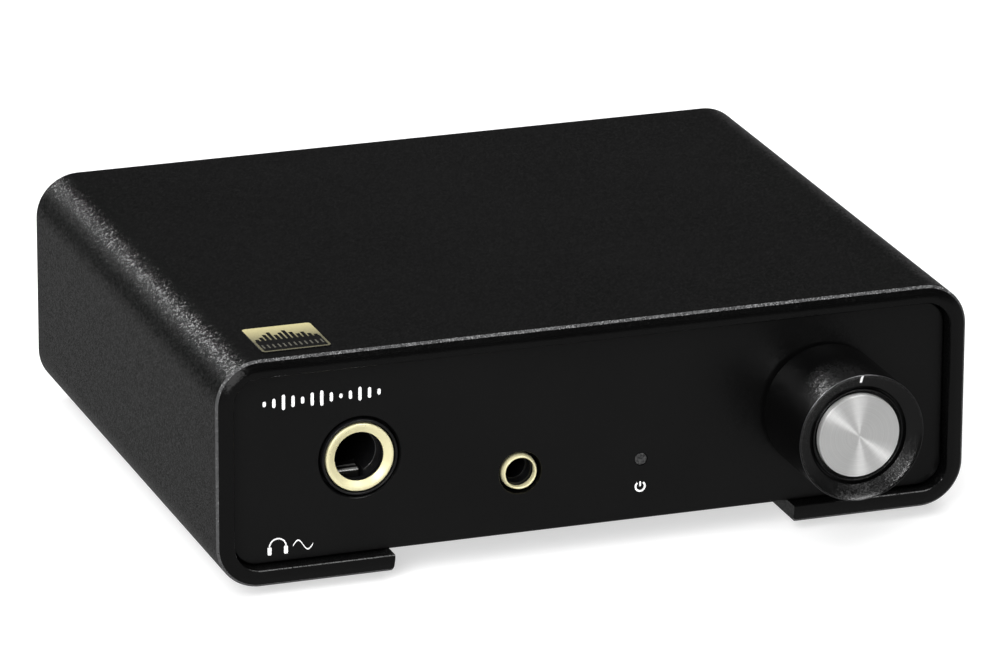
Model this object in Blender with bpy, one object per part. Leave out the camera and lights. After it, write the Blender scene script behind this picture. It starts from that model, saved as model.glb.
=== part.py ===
"""Desktop DAC and headphone amplifier in an extruded aluminium sleeve.

Every sub-part is one closed mesh object.  The chassis empty sits at the lower front edge of the
sleeve, so all places below are millimetres from there: X to the right, Y to the rear, Z up.
World units are metres, with the origin on the ground under the middle of the whole object.
"""
import math

import bmesh
import bpy
from mathutils import Matrix, Vector

MM = 0.001

# ---------------------------------------------------------------- driving dimensions (mm)
GAP = 0.3               # clearance kept between neighbouring pieces

SLEEVE_W = 115.0
SLEEVE_H = 34.33
SLEEVE_D = 92.36
SLEEVE_R = 6.58         # outer corner radius of the extrusion
WALL = 2.6
# Both ends of the sleeve ease off outwards, then are chamfered: (distance from the end, inset).
EDGE_STEPS = ((0.0, 1.9), (0.05, 1.5), (0.22, 1.0), (0.51, 0.26), (0.77, 0.0))
CHANNEL_W = 61.6        # open stretch of the underside, between the two lips
POCKET_STEP = 0.1       # the milled end pockets are this much wider than the extruded inside
BOSS = 6.0              # square screw bosses in the four inner corners
BOSS_R = 2.8
BOSS_HOLE_DEPTH = 10.0

RECESS = 2.0            # the panels' faces sit this far inside the sleeve's ends
PANEL_T = 3.0
PANEL_GAP = 0.25

FOOT_R = 4.5
FOOT_H = 1.5
FOOT_X = 44.0
FOOT_INSET_Y = 14.0

TRAY_X = 48.4
TRAY_T = 1.5
BOARD_Z = 7.6           # underside of the main board
BOARD_T = 1.6
BOARD_FRONT = 6.0
BOARD_REAR = 86.5
POST_X = 45.5
POST_Y = (12.0, 80.0)
POST_R = 2.75
LUG_X = 24.0
LUG_W = 8.0
LUG_D = 6.0

SCREW_R = 1.0
SCREW_HOLE_R = 1.4
SCREW_HEAD_R = 2.2
SCREW_HEAD_H = 1.2
SCREW_CROWN_R = 1.7     # flat top of the head, inside its rounded edge
SCREW_CROWN_H = 0.7
SCREW_DRIVE_R = 0.9
SCREW_DRIVE_H = 0.5
CORNER_SHANK = 9.0
TRAY_SHANK = 4.2
BOARD_SHANK = 4.3

JACK_635_X = -35.53
JACK_635_Z = 17.43
JACK_635_HOLE_R = 6.05
JACK_635_HALF = 7.5
JACK_635_DEPTH = 33.5
JACK_635_NOSE_R = 5.72
JACK_635_NOSE_OUT = 0.25
JACK_635_BORE_R = 3.27
JACK_635_BORE_DEPTH = 31.5
JACK_635_STEP = 2.7         # depth at which the bore narrows to fit the plug
# Profiles are (radius, depth) and contact paths are (place, depth) or (depth, place).
JACK_635_RING = (
    (5.1, 0.7), (5.1, -0.1), (4.9, -0.3), (4.6, -0.3), (3.7, 0.25), (3.7, 0.45), (3.95, 0.7),
)
JACK_635_RING_SEAT = (5.4, 1.0)
JACK_635_THROAT_R = 4.0
JACK_635_SLEEVE_PATH = (
    (4.1, -6.8), (4.2, -3.95), (4.5, -3.42), (5.3, -3.42), (5.65, -3.26), (6.1, -3.5), (6.9, -4.4),
)
JACK_635_SLEEVE_X = (-2.4, 1.2)
JACK_635_SLEEVE_T = 0.35
JACK_635_RING_PATH = ((-7.0, 12.9), (-5.0, 13.6), (-2.6, 16.5), (-5.0, 19.4), (-7.0, 20.1))
JACK_635_TIP_PATH = ((7.0, 22.9), (5.0, 23.6), (2.6, 26.5), (5.0, 29.4), (7.0, 30.1))
JACK_635_SPRING_T = 0.4
JACK_635_SPRING_W = 2.8
JACK_35_X = -11.1
JACK_35_Z = 12.15
JACK_35_HOLE_R = 3.2
JACK_35_HALF = 3.3
JACK_35_TOP = 3.0
JACK_35_DEPTH = 16.5
JACK_35_NOSE_R = 2.9
JACK_35_NOSE_IN = 1.6
JACK_35_THROAT_R = 2.1
JACK_35_BORE_R = 1.85
JACK_35_BORE_DEPTH = 15.0
JACK_35_STEP = 3.3
JACK_35_RING = (
    (2.73, 1.3), (2.73, 0.85), (2.66, 0.58), (2.44, -0.02),
    (2.34, -0.07), (2.24, 0.05), (2.24, 0.95), (2.4, 1.3),
)
JACK_35_RING_PATH = ((-3.0, 5.4), (-2.6, 5.8), (-1.5, 7.1), (-2.6, 8.4), (-3.0, 8.8))
JACK_35_TIP_PATH = ((3.0, 10.2), (2.6, 10.6), (1.5, 11.9), (2.6, 13.2), (3.0, 13.6))
JACK_35_SPRING_T = 0.25
JACK_35_SPRING_W = 1.6
SLOT_ROOM = 0.4             # free space round each contact spring in its slot
HOLE_EDGE = 0.2             # chamfer round the sockets' holes in the panel
LED_X = 7.5
LED_Z = 12.05
LED_R = 0.94
LED_GAP = 0.26
LED_LENGTH = 5.5

KNOB_X = 35.75
KNOB_Z = 17.2
KNOB_R = 9.65
KNOB_FRONT = 15.2       # how far the knob's rim stands out from the front panel
KNOB_CLEAR = 0.6        # gap between the knob and the panel
KNOB_EDGE = 0.1         # broken edge round the knob's rim
DISH_R = 7.4            # the hollow ring round the cap starts here and rises to the rim
DISH_DEPTH = 1.2
DISH_CONE = 0.8         # share of its depth that it rises as a plain cone
DISH_CURL = 10          # the rest is a power of the way out, so it steepens at the rim
DISH_STEPS = 5
CAP_R = 6.27
CAP_BACK = -13.2
CAP_FACE = -14.3
# Seat under the cap, then the narrow groove between the cap and the dish: (radius, place).
KNOB_FLOOR = ((6.6, -12.9), (6.75, -13.8), (7.0, -13.8), (7.1, -13.4), (7.3, -13.4))
KNOB_HOLLOW_R = 7.5         # room behind the knob for the nut and washer
KNOB_HOLLOW = -4.7
KNOB_SOCKET = -10.5
SHAFT_R = 3.0
SHAFT_ENDS = (-10.2, 11.4)
SHAFT_FLAT = 1.6            # the flat's distance from the axis
SHAFT_FLAT_START = -5.0
BUSH_R = 4.5
BUSH_END = 4.0
NUT_FLATS = 12.0
NUT_FACE = -2.3
POT_HALF = 7.5
POT_Y = (4.9, 14.5)
POT_TOP = 7.8
POT_CAVITY = ((0, 4), (3.4, 4), (3.4, 5.9), (6.6, 5.9), (6.6, 12.0), (0, 12.0))
WIPER_R = 6.2
WIPER_Y = (7.0, 8.6)

RCA_X = (19.0, 34.0)
RCA_Z = 17.0
RCA_R = 4.15
RCA_REACH = 8.5         # how far the sockets stand out from the rear panel
RCA_BACK = -6.0
RCA_SHELL_R = 3.6       # inside of the shell
RCA_HOUSING_SIDE = 7.4
RCA_HOUSING_DEPTH = 16.0
RCA_HOUSING_TOP = 24.5
RCA_POCKET = ((0, -10.3), (2.2, -10.3), (2.2, -6.3), (4.5, -6.3), (4.5, 0), (0, 0))
RCA_CONTACT_R = (1.6, 1.9)
RCA_CONTACT_BACK = -10.0
USB_X = -30.0
USB_Z = 11.15
USB_W = 8.94
USB_H = 3.26
USB_T = 0.3
USB_Y = (-9.6, -0.2)
GAIN_X = -6.0
GAIN_Z = 12.4
GAIN_TRAVEL = 3.0
GAIN_SLOT = (3.4, 1.6)      # half the slot's width and height
GAIN_SLOT_R = 0.5
GAIN_LEVER = (1.2, 1.1)     # half the lever's width and height
GAIN_LEVER_Y = (-7.0, 1.7)
GAIN_BODY_DEPTH = 10.0

LABEL_W = 10.4
LABEL_D = 10.4
LABEL_X = -44.4
LABEL_Y = 8.4
LABEL_T = 0.2
LABEL_LIFT = 0.1

FINE = 36               # sides of the large round shapes
ROUND = 24              # sides of the small ones
COARSE = 12             # sides of screws and screw holes

# ---------------------------------------------------------------- derived places (mm)
MID_Z = SLEEVE_H / 2
INNER_X = SLEEVE_W / 2 - WALL
INNER_Z = SLEEVE_H / 2 - WALL
INNER_R = SLEEVE_R - WALL
PANEL_BACK = RECESS + PANEL_T
REAR_FACE = SLEEVE_D - RECESS
REAR_FRONT = REAR_FACE - PANEL_T
TRAY_Z = WALL + GAP
TRAY_TOP = TRAY_Z + TRAY_T
BOARD_TOP = BOARD_Z + BOARD_T
PART_Z = BOARD_TOP + GAP            # underside of everything mounted on the board
LUG_Z = TRAY_TOP + GAP
LUG_TOP = BOARD_Z - GAP
BOSS_HOLE = BOSS - BOSS_R           # screw hole's distance from the two inner walls
BOSS_X = INNER_X - POCKET_STEP - BOSS_HOLE
BOSS_DZ = INNER_Z - POCKET_STEP - BOSS_HOLE
FRONTMOST = RECESS - KNOB_FRONT
REARMOST = REAR_FACE + RCA_REACH
CHASSIS_Y = -(FRONTMOST + REARMOST) / 2
CHASSIS_Z = FOOT_H + GAP

MATERIALS = {               # base colour, roughness, metallic
    "anodised_black": ((0.012, 0.012, 0.013), 0.45, 0.6),
    "black_plastic": ((0.015, 0.015, 0.016), 0.5, 0.0),
    "grey_plastic": ((0.10, 0.10, 0.10), 0.5, 0.0),
    "gold_plate": ((0.85, 0.70, 0.36), 0.25, 1.0),
    "spun_aluminium": ((0.78, 0.78, 0.80), 0.28, 1.0),
    "nickel": ((0.62, 0.60, 0.56), 0.25, 1.0),
    "steel": ((0.45, 0.45, 0.47), 0.35, 1.0),
    "black_screw": ((0.02, 0.02, 0.02), 0.4, 0.8),
    "rubber": ((0.02, 0.02, 0.02), 0.85, 0.0),
    "circuit_board": ((0.01, 0.03, 0.02), 0.5, 0.0),
    "chip_epoxy": ((0.02, 0.02, 0.02), 0.55, 0.0),
    "white_plastic": ((0.75, 0.75, 0.72), 0.45, 0.0),
    "red_plastic": ((0.50, 0.02, 0.02), 0.45, 0.0),
    "frosted_lens": ((0.20, 0.20, 0.20), 0.6, 0.0),
    "label_foil": ((0.75, 0.62, 0.35), 0.35, 0.8),
}


# ---------------------------------------------------------------- scene helpers
def clear_scene():
    for obj in list(bpy.data.objects):
        bpy.data.objects.remove(obj, do_unlink=True)


def make_material(name):
    colour, roughness, metallic = MATERIALS[name]
    material = bpy.data.materials.new(name)
    material.use_nodes = True
    shader = material.node_tree.nodes["Principled BSDF"]
    shader.inputs["Base Color"].default_value = (*colour, 1.0)
    shader.inputs["Roughness"].default_value = roughness
    shader.inputs["Metallic"].default_value = metallic
    return material


def make_empty(name, location, parent=None):
    empty = bpy.data.objects.new(name, None)
    bpy.context.scene.collection.objects.link(empty)
    empty.parent = parent
    empty.location = Vector(location) * MM
    return empty


def make_object(name, bm, location, parent):
    """Turns a bmesh in millimetres into an object at location, in the parent's frame."""
    bmesh.ops.scale(bm, vec=(MM, MM, MM), verts=bm.verts)
    bmesh.ops.recalc_face_normals(bm, faces=bm.faces)
    mesh = bpy.data.meshes.new(name)
    bm.to_mesh(mesh)
    bm.free()
    obj = bpy.data.objects.new(name, mesh)
    bpy.context.scene.collection.objects.link(obj)
    obj.parent = parent
    obj.location = Vector(location) * MM
    return obj


def part(name, bm, material, location=(0, 0, 0), parent=None, smooth=False):
    obj = make_object(name, bm, location, parent or chassis)
    obj.data.materials.append(materials[material])
    if smooth:
        obj.data.shade_smooth()
        obj.data.set_sharp_from_angle(angle=math.radians(35))
    return obj


def copy_of(source, name, location, parent=None):
    """Another object on the same mesh, for pieces that carry no modifiers."""
    obj = bpy.data.objects.new(name, source.data)
    bpy.context.scene.collection.objects.link(obj)
    obj.parent = parent or chassis
    obj.location = Vector(location) * MM
    obj.rotation_euler = source.rotation_euler
    return obj


def shape(obj, operation, name, bm, location=(0, 0, 0), parent=None):
    """Adds to obj (UNION) or takes from it (DIFFERENCE) the closed shape in bm."""
    tool = make_object(f"{obj.name}_{name}", bm, location, parent or chassis)
    tool.hide_render = True
    tool.display_type = "WIRE"
    modifier = obj.modifiers.new(name, "BOOLEAN")
    modifier.operation = operation
    modifier.solver = "EXACT"
    modifier.object = tool
    return tool


# ---------------------------------------------------------------- shape helpers
def block(x0, x1, y0, y1, z0, z1):
    bm = bmesh.new()
    size = Matrix.Diagonal((x1 - x0, y1 - y0, z1 - z0, 1.0))
    centre = Matrix.Translation(((x0 + x1) / 2, (y0 + y1) / 2, (z0 + z1) / 2))
    bmesh.ops.create_cube(bm, size=1.0, matrix=centre @ size)
    return bm


def rounded_rect(half_x, half_z, radius, steps=6, centre_z=0.0):
    """Outline in X and Z, anticlockwise seen from the front."""
    points = []
    for quarter, (sx, sz) in enumerate(((1, 1), (-1, 1), (-1, -1), (1, -1))):
        cx = sx * (half_x - radius)
        cz = sz * (half_z - radius) + centre_z
        for step in range(steps + 1):
            angle = math.radians(90 * quarter + 90 * step / steps)
            points.append((cx + radius * math.cos(angle), cz + radius * math.sin(angle)))
    return points


def loft_y(sections):
    """Closed body through outlines of equal length: sections is a list of (y, outline)."""
    bm = bmesh.new()
    rings = [[bm.verts.new((x, y, z)) for x, z in outline] for y, outline in sections]
    for ring, following in zip(rings, rings[1:]):
        count = len(ring)
        for i in range(count):
            j = (i + 1) % count
            bm.faces.new((ring[i], ring[j], following[j], following[i]))
    bm.faces.new(rings[0])
    bm.faces.new(reversed(rings[-1]))
    return bm


def prism_y(outline, y0, y1):
    return loft_y([(y0, outline), (y1, outline)])


def turned(profile, segments=ROUND, axis="Y"):
    """Turns a closed profile of (radius, distance along the axis) points about Y or Z."""
    bm = bmesh.new()
    rings = []
    for radius, along in profile:
        count = segments if radius > 0 else 1
        ring = []
        for i in range(count):
            angle = 2 * math.pi * (i + 0.5) / segments
            a, b = radius * math.cos(angle), radius * math.sin(angle)
            ring.append(bm.verts.new((a, along, b) if axis == "Y" else (a, b, along)))
        rings.append(ring)
    for ring, following in zip(rings, rings[1:] + rings[:1]):
        if len(ring) == 1 and len(following) == 1:
            continue
        for i in range(segments):
            j = (i + 1) % segments
            corners = []
            for vert in (ring[i % len(ring)], ring[j % len(ring)],
                         following[j % len(following)], following[i % len(following)]):
                if vert not in corners:
                    corners.append(vert)
            bm.faces.new(corners)
    return bm


def rod(radius, along0, along1, segments=ROUND, axis="Y"):
    profile = [(0, along0), (radius, along0), (radius, along1), (0, along1)]
    return turned(profile, segments, axis)


def strip(path, thickness, low, high, plane):
    """Bent sheet-metal strip: path is its centre line in plane "XY" or "YZ", and low and high
    are its edges along the third axis."""
    left, right = [], []
    for i, point in enumerate(path):
        before = Vector(path[max(i - 1, 0)])
        after = Vector(path[min(i + 1, len(path) - 1)])
        along = (after - before).normalized()
        normal = Vector((-along.y, along.x)) * thickness / 2
        left.append(Vector(point) + normal)
        right.append(Vector(point) - normal)
    outline = left + right[::-1]
    bm = bmesh.new()
    rings = []
    for third in (low, high):
        if plane == "XY":
            rings.append([bm.verts.new((p.x, p.y, third)) for p in outline])
        else:
            rings.append([bm.verts.new((third, p.x, p.y)) for p in outline])
    count = len(outline)
    for i in range(count):
        j = (i + 1) % count
        bm.faces.new((rings[0][i], rings[0][j], rings[1][j], rings[1][i]))
    bm.faces.new(rings[0])
    bm.faces.new(reversed(rings[1]))
    return bm


def hexagon(across_flats):
    radius = across_flats / 2 / math.cos(math.pi / 6)
    return [(radius * math.cos(math.pi / 3 * i), radius * math.sin(math.pi / 3 * i)) for i in range(6)]


def screw_mesh(shank, axis, direction):
    """Pan-head screw with its head's seat at the origin; the shank points along direction."""
    d = direction
    profile = [
        (0, -SCREW_DRIVE_H * d), (SCREW_DRIVE_R, -SCREW_DRIVE_H * d),
        (SCREW_DRIVE_R, -SCREW_HEAD_H * d), (SCREW_CROWN_R, -SCREW_HEAD_H * d),
        (SCREW_HEAD_R, -SCREW_CROWN_H * d), (SCREW_HEAD_R, 0),
        (SCREW_R, 0), (SCREW_R, shank * d), (0, shank * d),
    ]
    return turned(profile, COARSE, axis)


# ---------------------------------------------------------------- enclosure
def sleeve_section(inset):
    return rounded_rect(SLEEVE_W / 2 - inset, SLEEVE_H / 2 - inset, SLEEVE_R - inset, 8, MID_Z)


def bossed_outline():
    """Free space inside the extrusion: a rectangle with a rounded screw boss in each corner."""
    hx = INNER_X - POCKET_STEP
    hz = INNER_Z - POCKET_STEP
    cx = hx - BOSS_HOLE
    cz = hz - BOSS_HOLE
    quarter = [(hx, hz - BOSS)]
    for step in range(5):
        angle = math.radians(270 - 22.5 * step)
        quarter.append((cx + BOSS_R * math.cos(angle), cz + BOSS_R * math.sin(angle)))
    quarter.append((hx - BOSS, hz))
    outline = list(quarter)
    outline += [(-x, z) for x, z in reversed(quarter)]
    outline += [(-x, -z) for x, z in quarter]
    outline += [(x, -z) for x, z in reversed(quarter)]
    return [(x, z + MID_Z) for x, z in outline]


def boss_places():
    return [(sx * BOSS_X, MID_Z + sz * BOSS_DZ) for sz in (1, -1) for sx in (-1, 1)]


def build_sleeve():
    stations = [(y, sleeve_section(inset)) for y, inset in EDGE_STEPS]
    stations += [(SLEEVE_D - y, sleeve_section(inset)) for y, inset in reversed(EDGE_STEPS)]
    sleeve = part("sleeve", loft_y(stations), "anodised_black", smooth=True)
    shape(sleeve, "DIFFERENCE", "inside", prism_y(bossed_outline(), -1, SLEEVE_D + 1))
    pocket = rounded_rect(INNER_X, INNER_Z, INNER_R, 6, MID_Z)
    shape(sleeve, "DIFFERENCE", "front_pocket", prism_y(pocket, -1, PANEL_BACK + GAP))
    shape(sleeve, "DIFFERENCE", "rear_pocket", prism_y(pocket, REAR_FRONT - GAP, SLEEVE_D + 1))
    half = CHANNEL_W / 2
    shape(sleeve, "DIFFERENCE", "channel", block(-half, half, -1, SLEEVE_D + 1, -1, WALL + 1))
    for i, (x, z) in enumerate(boss_places()):
        hole = rod(SCREW_HOLE_R, REAR_FRONT - BOSS_HOLE_DEPTH, REAR_FRONT + 1, COARSE)
        shape(sleeve, "DIFFERENCE", f"screw_hole_{i + 1}", hole, (x, 0, z))
    return sleeve


def panel_outline():
    return rounded_rect(INNER_X - PANEL_GAP, INNER_Z - PANEL_GAP, INNER_R - PANEL_GAP, 6, MID_Z)


def add_lugs(panel, y0, y1, hole_y):
    """Two lugs behind a panel, tapped from below for the tray screws."""
    for side, x in (("left", -LUG_X), ("right", LUG_X)):
        lug = block(x - LUG_W / 2, x + LUG_W / 2, y0, y1, LUG_Z, LUG_TOP)
        shape(panel, "UNION", f"lug_{side}", lug)
        hole = rod(SCREW_HOLE_R, LUG_Z - 1, LUG_TOP + 1, COARSE, "Z")
        shape(panel, "DIFFERENCE", f"lug_hole_{side}", hole, (x, hole_y, 0))


def countersunk_hole(radius, chamfer):
    """Cutter for a panel hole whose front edge is chamfered; y 0 is the panel's face."""
    return turned([
        (0, -1), (radius + chamfer + 1, -1), (radius, chamfer), (radius, PANEL_T + 1), (0, PANEL_T + 1),
    ], FINE)


def build_front_panel():
    panel = part("front_panel", prism_y(panel_outline(), RECESS, PANEL_BACK), "anodised_black")
    holes = (
        ("jack_635_hole", JACK_635_X, JACK_635_Z, JACK_635_HOLE_R, HOLE_EDGE),
        ("jack_35_hole", JACK_35_X, JACK_35_Z, JACK_35_HOLE_R, HOLE_EDGE),
        ("led_hole", LED_X, LED_Z, LED_R + LED_GAP, 0.05),
        ("pot_hole", KNOB_X, KNOB_Z, BUSH_R + 0.4, 0.1),
    )
    for name, x, z, radius, chamfer in holes:
        shape(panel, "DIFFERENCE", name, countersunk_hole(radius, chamfer), (x, RECESS, z))
    add_lugs(panel, PANEL_BACK - 0.5, PANEL_BACK + LUG_D, PANEL_BACK + LUG_D / 2)
    return panel


def build_rear_panel():
    panel = part("rear_panel", prism_y(panel_outline(), REAR_FRONT, REAR_FACE), "anodised_black")
    low, high = REAR_FRONT - 1, REAR_FACE + 1
    for i, x in enumerate(RCA_X):
        hole = rod(RCA_R + 0.4, low, high)
        shape(panel, "DIFFERENCE", f"rca_hole_{i + 1}", hole, (x, 0, RCA_Z))
    usb = rounded_rect(USB_W / 2 + GAP, USB_H / 2 + GAP, USB_H / 2 + GAP - 0.01, 6, USB_Z)
    shape(panel, "DIFFERENCE", "usb_slot", prism_y(usb, low, high), (USB_X, 0, 0))
    gain = rounded_rect(*GAIN_SLOT, GAIN_SLOT_R, 3, GAIN_Z)
    shape(panel, "DIFFERENCE", "gain_slot", prism_y(gain, low, high), (GAIN_X, 0, 0))
    for i, (x, z) in enumerate(boss_places()):
        hole = rod(SCREW_HOLE_R, low, high, COARSE)
        shape(panel, "DIFFERENCE", f"corner_hole_{i + 1}", hole, (x, 0, z))
    add_lugs(panel, REAR_FRONT - LUG_D, REAR_FRONT + 0.5, REAR_FRONT - LUG_D / 2)
    return panel


def post_places():
    return [(x, y) for y in POST_Y for x in (-POST_X, POST_X)]


def tray_screw_places():
    rows = (PANEL_BACK + LUG_D / 2, REAR_FRONT - LUG_D / 2)
    return [(x, y) for y in rows for x in (-LUG_X, LUG_X)]


def build_tray():
    plate = block(-TRAY_X, TRAY_X, PANEL_BACK + GAP, REAR_FRONT - GAP, TRAY_Z, TRAY_TOP)
    tray = part("base_tray", plate, "anodised_black")
    for i, (x, y) in enumerate(post_places()):
        post = rod(POST_R, TRAY_TOP - 0.5, BOARD_Z - GAP, COARSE, "Z")
        shape(tray, "UNION", f"post_{i + 1}", post, (x, y, 0))
        hole = rod(SCREW_HOLE_R, TRAY_TOP + 0.2, BOARD_Z + 1, COARSE, "Z")
        shape(tray, "DIFFERENCE", f"post_hole_{i + 1}", hole, (x, y, 0))
    for i, (x, y) in enumerate(tray_screw_places()):
        hole = rod(SCREW_HOLE_R, TRAY_Z - 1, TRAY_TOP + 1, COARSE, "Z")
        shape(tray, "DIFFERENCE", f"screw_hole_{i + 1}", hole, (x, y, 0))
    return tray


def build_feet():
    edge = 0.4
    profile = [
        (0, -FOOT_H), (FOOT_R - edge, -FOOT_H), (FOOT_R, -FOOT_H + edge), (FOOT_R, 0), (0, 0),
    ]
    rows = (("front", FOOT_INSET_Y), ("rear", SLEEVE_D - FOOT_INSET_Y))
    first = None
    for row, y in rows:
        for side, x in (("left", -FOOT_X), ("right", FOOT_X)):
            name = f"foot_{row}_{side}"
            if first is None:
                first = part(name, turned(profile, ROUND, "Z"), "rubber", (x, y, -GAP), smooth=True)
            else:
                copy_of(first, name, (x, y, -GAP))


def build_screws():
    """Screws through the rear panel, up through the tray and down through the board."""
    corner = None
    for i, (x, z) in enumerate(boss_places()):
        at = (x, REAR_FACE + GAP, z)
        if corner is None:
            mesh = screw_mesh(CORNER_SHANK, "Y", -1)
            corner = part("corner_screw_1", mesh, "black_screw", at, smooth=True)
        else:
            copy_of(corner, f"corner_screw_{i + 1}", at)
    tray = None
    for i, (x, y) in enumerate(tray_screw_places()):
        at = (x, y, TRAY_Z - GAP)
        if tray is None:
            mesh = screw_mesh(TRAY_SHANK, "Z", 1)
            tray = part("tray_screw_1", mesh, "black_screw", at, smooth=True)
        else:
            copy_of(tray, f"tray_screw_{i + 1}", at)
    board = None
    for i, (x, y) in enumerate(post_places()):
        at = (x, y, PART_Z)
        if board is None:
            mesh = screw_mesh(BOARD_SHANK, "Z", -1)
            board = part("board_screw_1", mesh, "steel", at, smooth=True)
        else:
            copy_of(board, f"board_screw_{i + 1}", at)


# ---------------------------------------------------------------- electronics
def build_board():
    plate = block(-TRAY_X, TRAY_X, BOARD_FRONT, BOARD_REAR, BOARD_Z, BOARD_TOP)
    board = part("main_board", plate, "circuit_board")
    for i, (x, y) in enumerate(post_places()):
        hole = rod(SCREW_HOLE_R, BOARD_Z - 1, BOARD_TOP + 1, COARSE, "Z")
        shape(board, "DIFFERENCE", f"hole_{i + 1}", hole, (x, y, 0))
    chips = (
        ("dac_chip", -2.0, 46.0, 7.0, 7.0, 0.9),
        ("usb_controller_chip", -28.0, 66.0, 9.0, 9.0, 1.0),
        ("headphone_amp_chip", -14.0, 30.0, 5.0, 6.2, 1.5),
        ("power_inductor", -44.0, 62.0, 5.0, 5.0, 3.0),
    )
    for name, x, y, width, depth, height in chips:
        bm = block(-width / 2, width / 2, -depth / 2, depth / 2, 0, height)
        part(name, bm, "chip_epoxy", (x, y, PART_Z))
    crystal = prism_y(rounded_rect(2.2, 0.6, 0.5, 3, 0.6), -1.5, 1.5)
    part("clock_crystal", crystal, "nickel", (-16.0, 62.0, PART_Z))
    can = None
    places = [(x, y) for y in (34.0, 48.0) for x in (14.0, 27.0)]
    for i, (x, y) in enumerate(places):
        at = (x, y, PART_Z)
        if can is None:
            profile = [(0, 0), (4.0, 0), (4.0, 11.1), (3.6, 11.5), (0, 11.5)]
            can = part("capacitor_1", turned(profile, 16, "Z"), "black_plastic", at, smooth=True)
        else:
            copy_of(can, f"capacitor_{i + 1}", at)


# ---------------------------------------------------------------- headphone sockets
def add_spring(name, housing, at, path, thickness, width):
    """Contact spring beside the bore, and the slot in the housing that it stands in."""
    xs = [x for x, y in path]
    ys = [y for x, y in path]
    side = math.copysign(1.0, path[0][0])
    inner = side * (min(abs(x) for x in xs) - thickness / 2 - SLOT_ROOM)
    outer = side * (max(abs(x) for x in xs) + 1.0)
    room = width / 2 + SLOT_ROOM
    slot = block(min(inner, outer), max(inner, outer), min(ys) - SLOT_ROOM, max(ys) + SLOT_ROOM,
                 -room, room)
    shape(housing, "DIFFERENCE", f"{name}_slot", slot, at)
    spring = strip(path, thickness, -width / 2, width / 2, "XY")
    part(name, spring, "nickel", at)


def build_jack_635():
    """6.35 mm socket. Places are from the axis at the front panel's face, Y inwards."""
    at = (JACK_635_X, RECESS, JACK_635_Z)
    floor = PART_Z - JACK_635_Z
    half = JACK_635_HALF
    body = block(-half, half, PANEL_T + 0.4, JACK_635_DEPTH, floor, half)
    housing = part("jack_635_housing", body, "black_plastic", at)
    nose = rod(JACK_635_NOSE_R, -JACK_635_NOSE_OUT, PANEL_T + 1, FINE)
    shape(housing, "UNION", "nose", nose, at)
    low_x, high_x = JACK_635_SLEEVE_X
    front = JACK_635_STEP - 0.1
    back = max(y for y, z in JACK_635_SLEEVE_PATH) + 0.5
    slot = block(low_x - 0.35, high_x + 0.35, front, back, floor - 1, -1.5)
    shape(housing, "DIFFERENCE", "sleeve_slot", slot, at)
    spring = strip(JACK_635_SLEEVE_PATH, JACK_635_SLEEVE_T, low_x, high_x, "YZ")
    part("jack_635_sleeve_contact", spring, "nickel", at)
    springs = (
        ("jack_635_ring_contact", JACK_635_RING_PATH),
        ("jack_635_tip_contact", JACK_635_TIP_PATH),
    )
    for name, path in springs:
        add_spring(name, housing, at, path, JACK_635_SPRING_T, JACK_635_SPRING_W)
    seat_r, seat_y = JACK_635_RING_SEAT
    bore = turned([
        (0, -1), (seat_r, -1), (seat_r, seat_y),
        (JACK_635_THROAT_R, seat_y), (JACK_635_THROAT_R, JACK_635_STEP),
        (JACK_635_BORE_R, JACK_635_STEP), (JACK_635_BORE_R, JACK_635_BORE_DEPTH), (0, JACK_635_BORE_DEPTH),
    ], FINE)
    shape(housing, "DIFFERENCE", "bore", bore, at)
    part("jack_635_ring", turned(JACK_635_RING, FINE), "gold_plate", at, smooth=True)


def build_jack_35():
    """3.5 mm socket, its ring level with the front panel's face."""
    at = (JACK_35_X, RECESS, JACK_35_Z)
    floor = PART_Z - JACK_35_Z
    half = JACK_35_HALF
    body = block(-half, half, PANEL_T + 0.4, JACK_35_DEPTH, floor, JACK_35_TOP)
    housing = part("jack_35_housing", body, "black_plastic", at)
    shape(housing, "UNION", "nose", rod(JACK_35_NOSE_R, JACK_35_NOSE_IN, PANEL_T + 1), at)
    bore = turned([
        (0, 1), (JACK_35_THROAT_R, 1), (JACK_35_THROAT_R, JACK_35_STEP),
        (JACK_35_BORE_R, JACK_35_STEP), (JACK_35_BORE_R, JACK_35_BORE_DEPTH), (0, JACK_35_BORE_DEPTH),
    ])
    shape(housing, "DIFFERENCE", "bore", bore, at)
    springs = (
        ("jack_35_ring_contact", JACK_35_RING_PATH),
        ("jack_35_tip_contact", JACK_35_TIP_PATH),
    )
    for name, path in springs:
        add_spring(name, housing, at, path, JACK_35_SPRING_T, JACK_35_SPRING_W)
    part("jack_35_ring", turned(JACK_35_RING), "gold_plate", at, smooth=True)


# ---------------------------------------------------------------- status light
def build_led():
    at = (LED_X, RECESS, LED_Z)
    pipe = [(0, 0.1), (LED_R - 0.1, 0.0), (LED_R, 0.1), (LED_R, LED_LENGTH), (0, LED_LENGTH)]
    part("led_light_pipe", turned(pipe), "frosted_lens", at, smooth=True)
    back = LED_LENGTH + 0.4
    body = block(-1.6, 1.6, back, back + 2.5, PART_Z - LED_Z, 1.8)
    part("status_led", body, "white_plastic", at)


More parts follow.
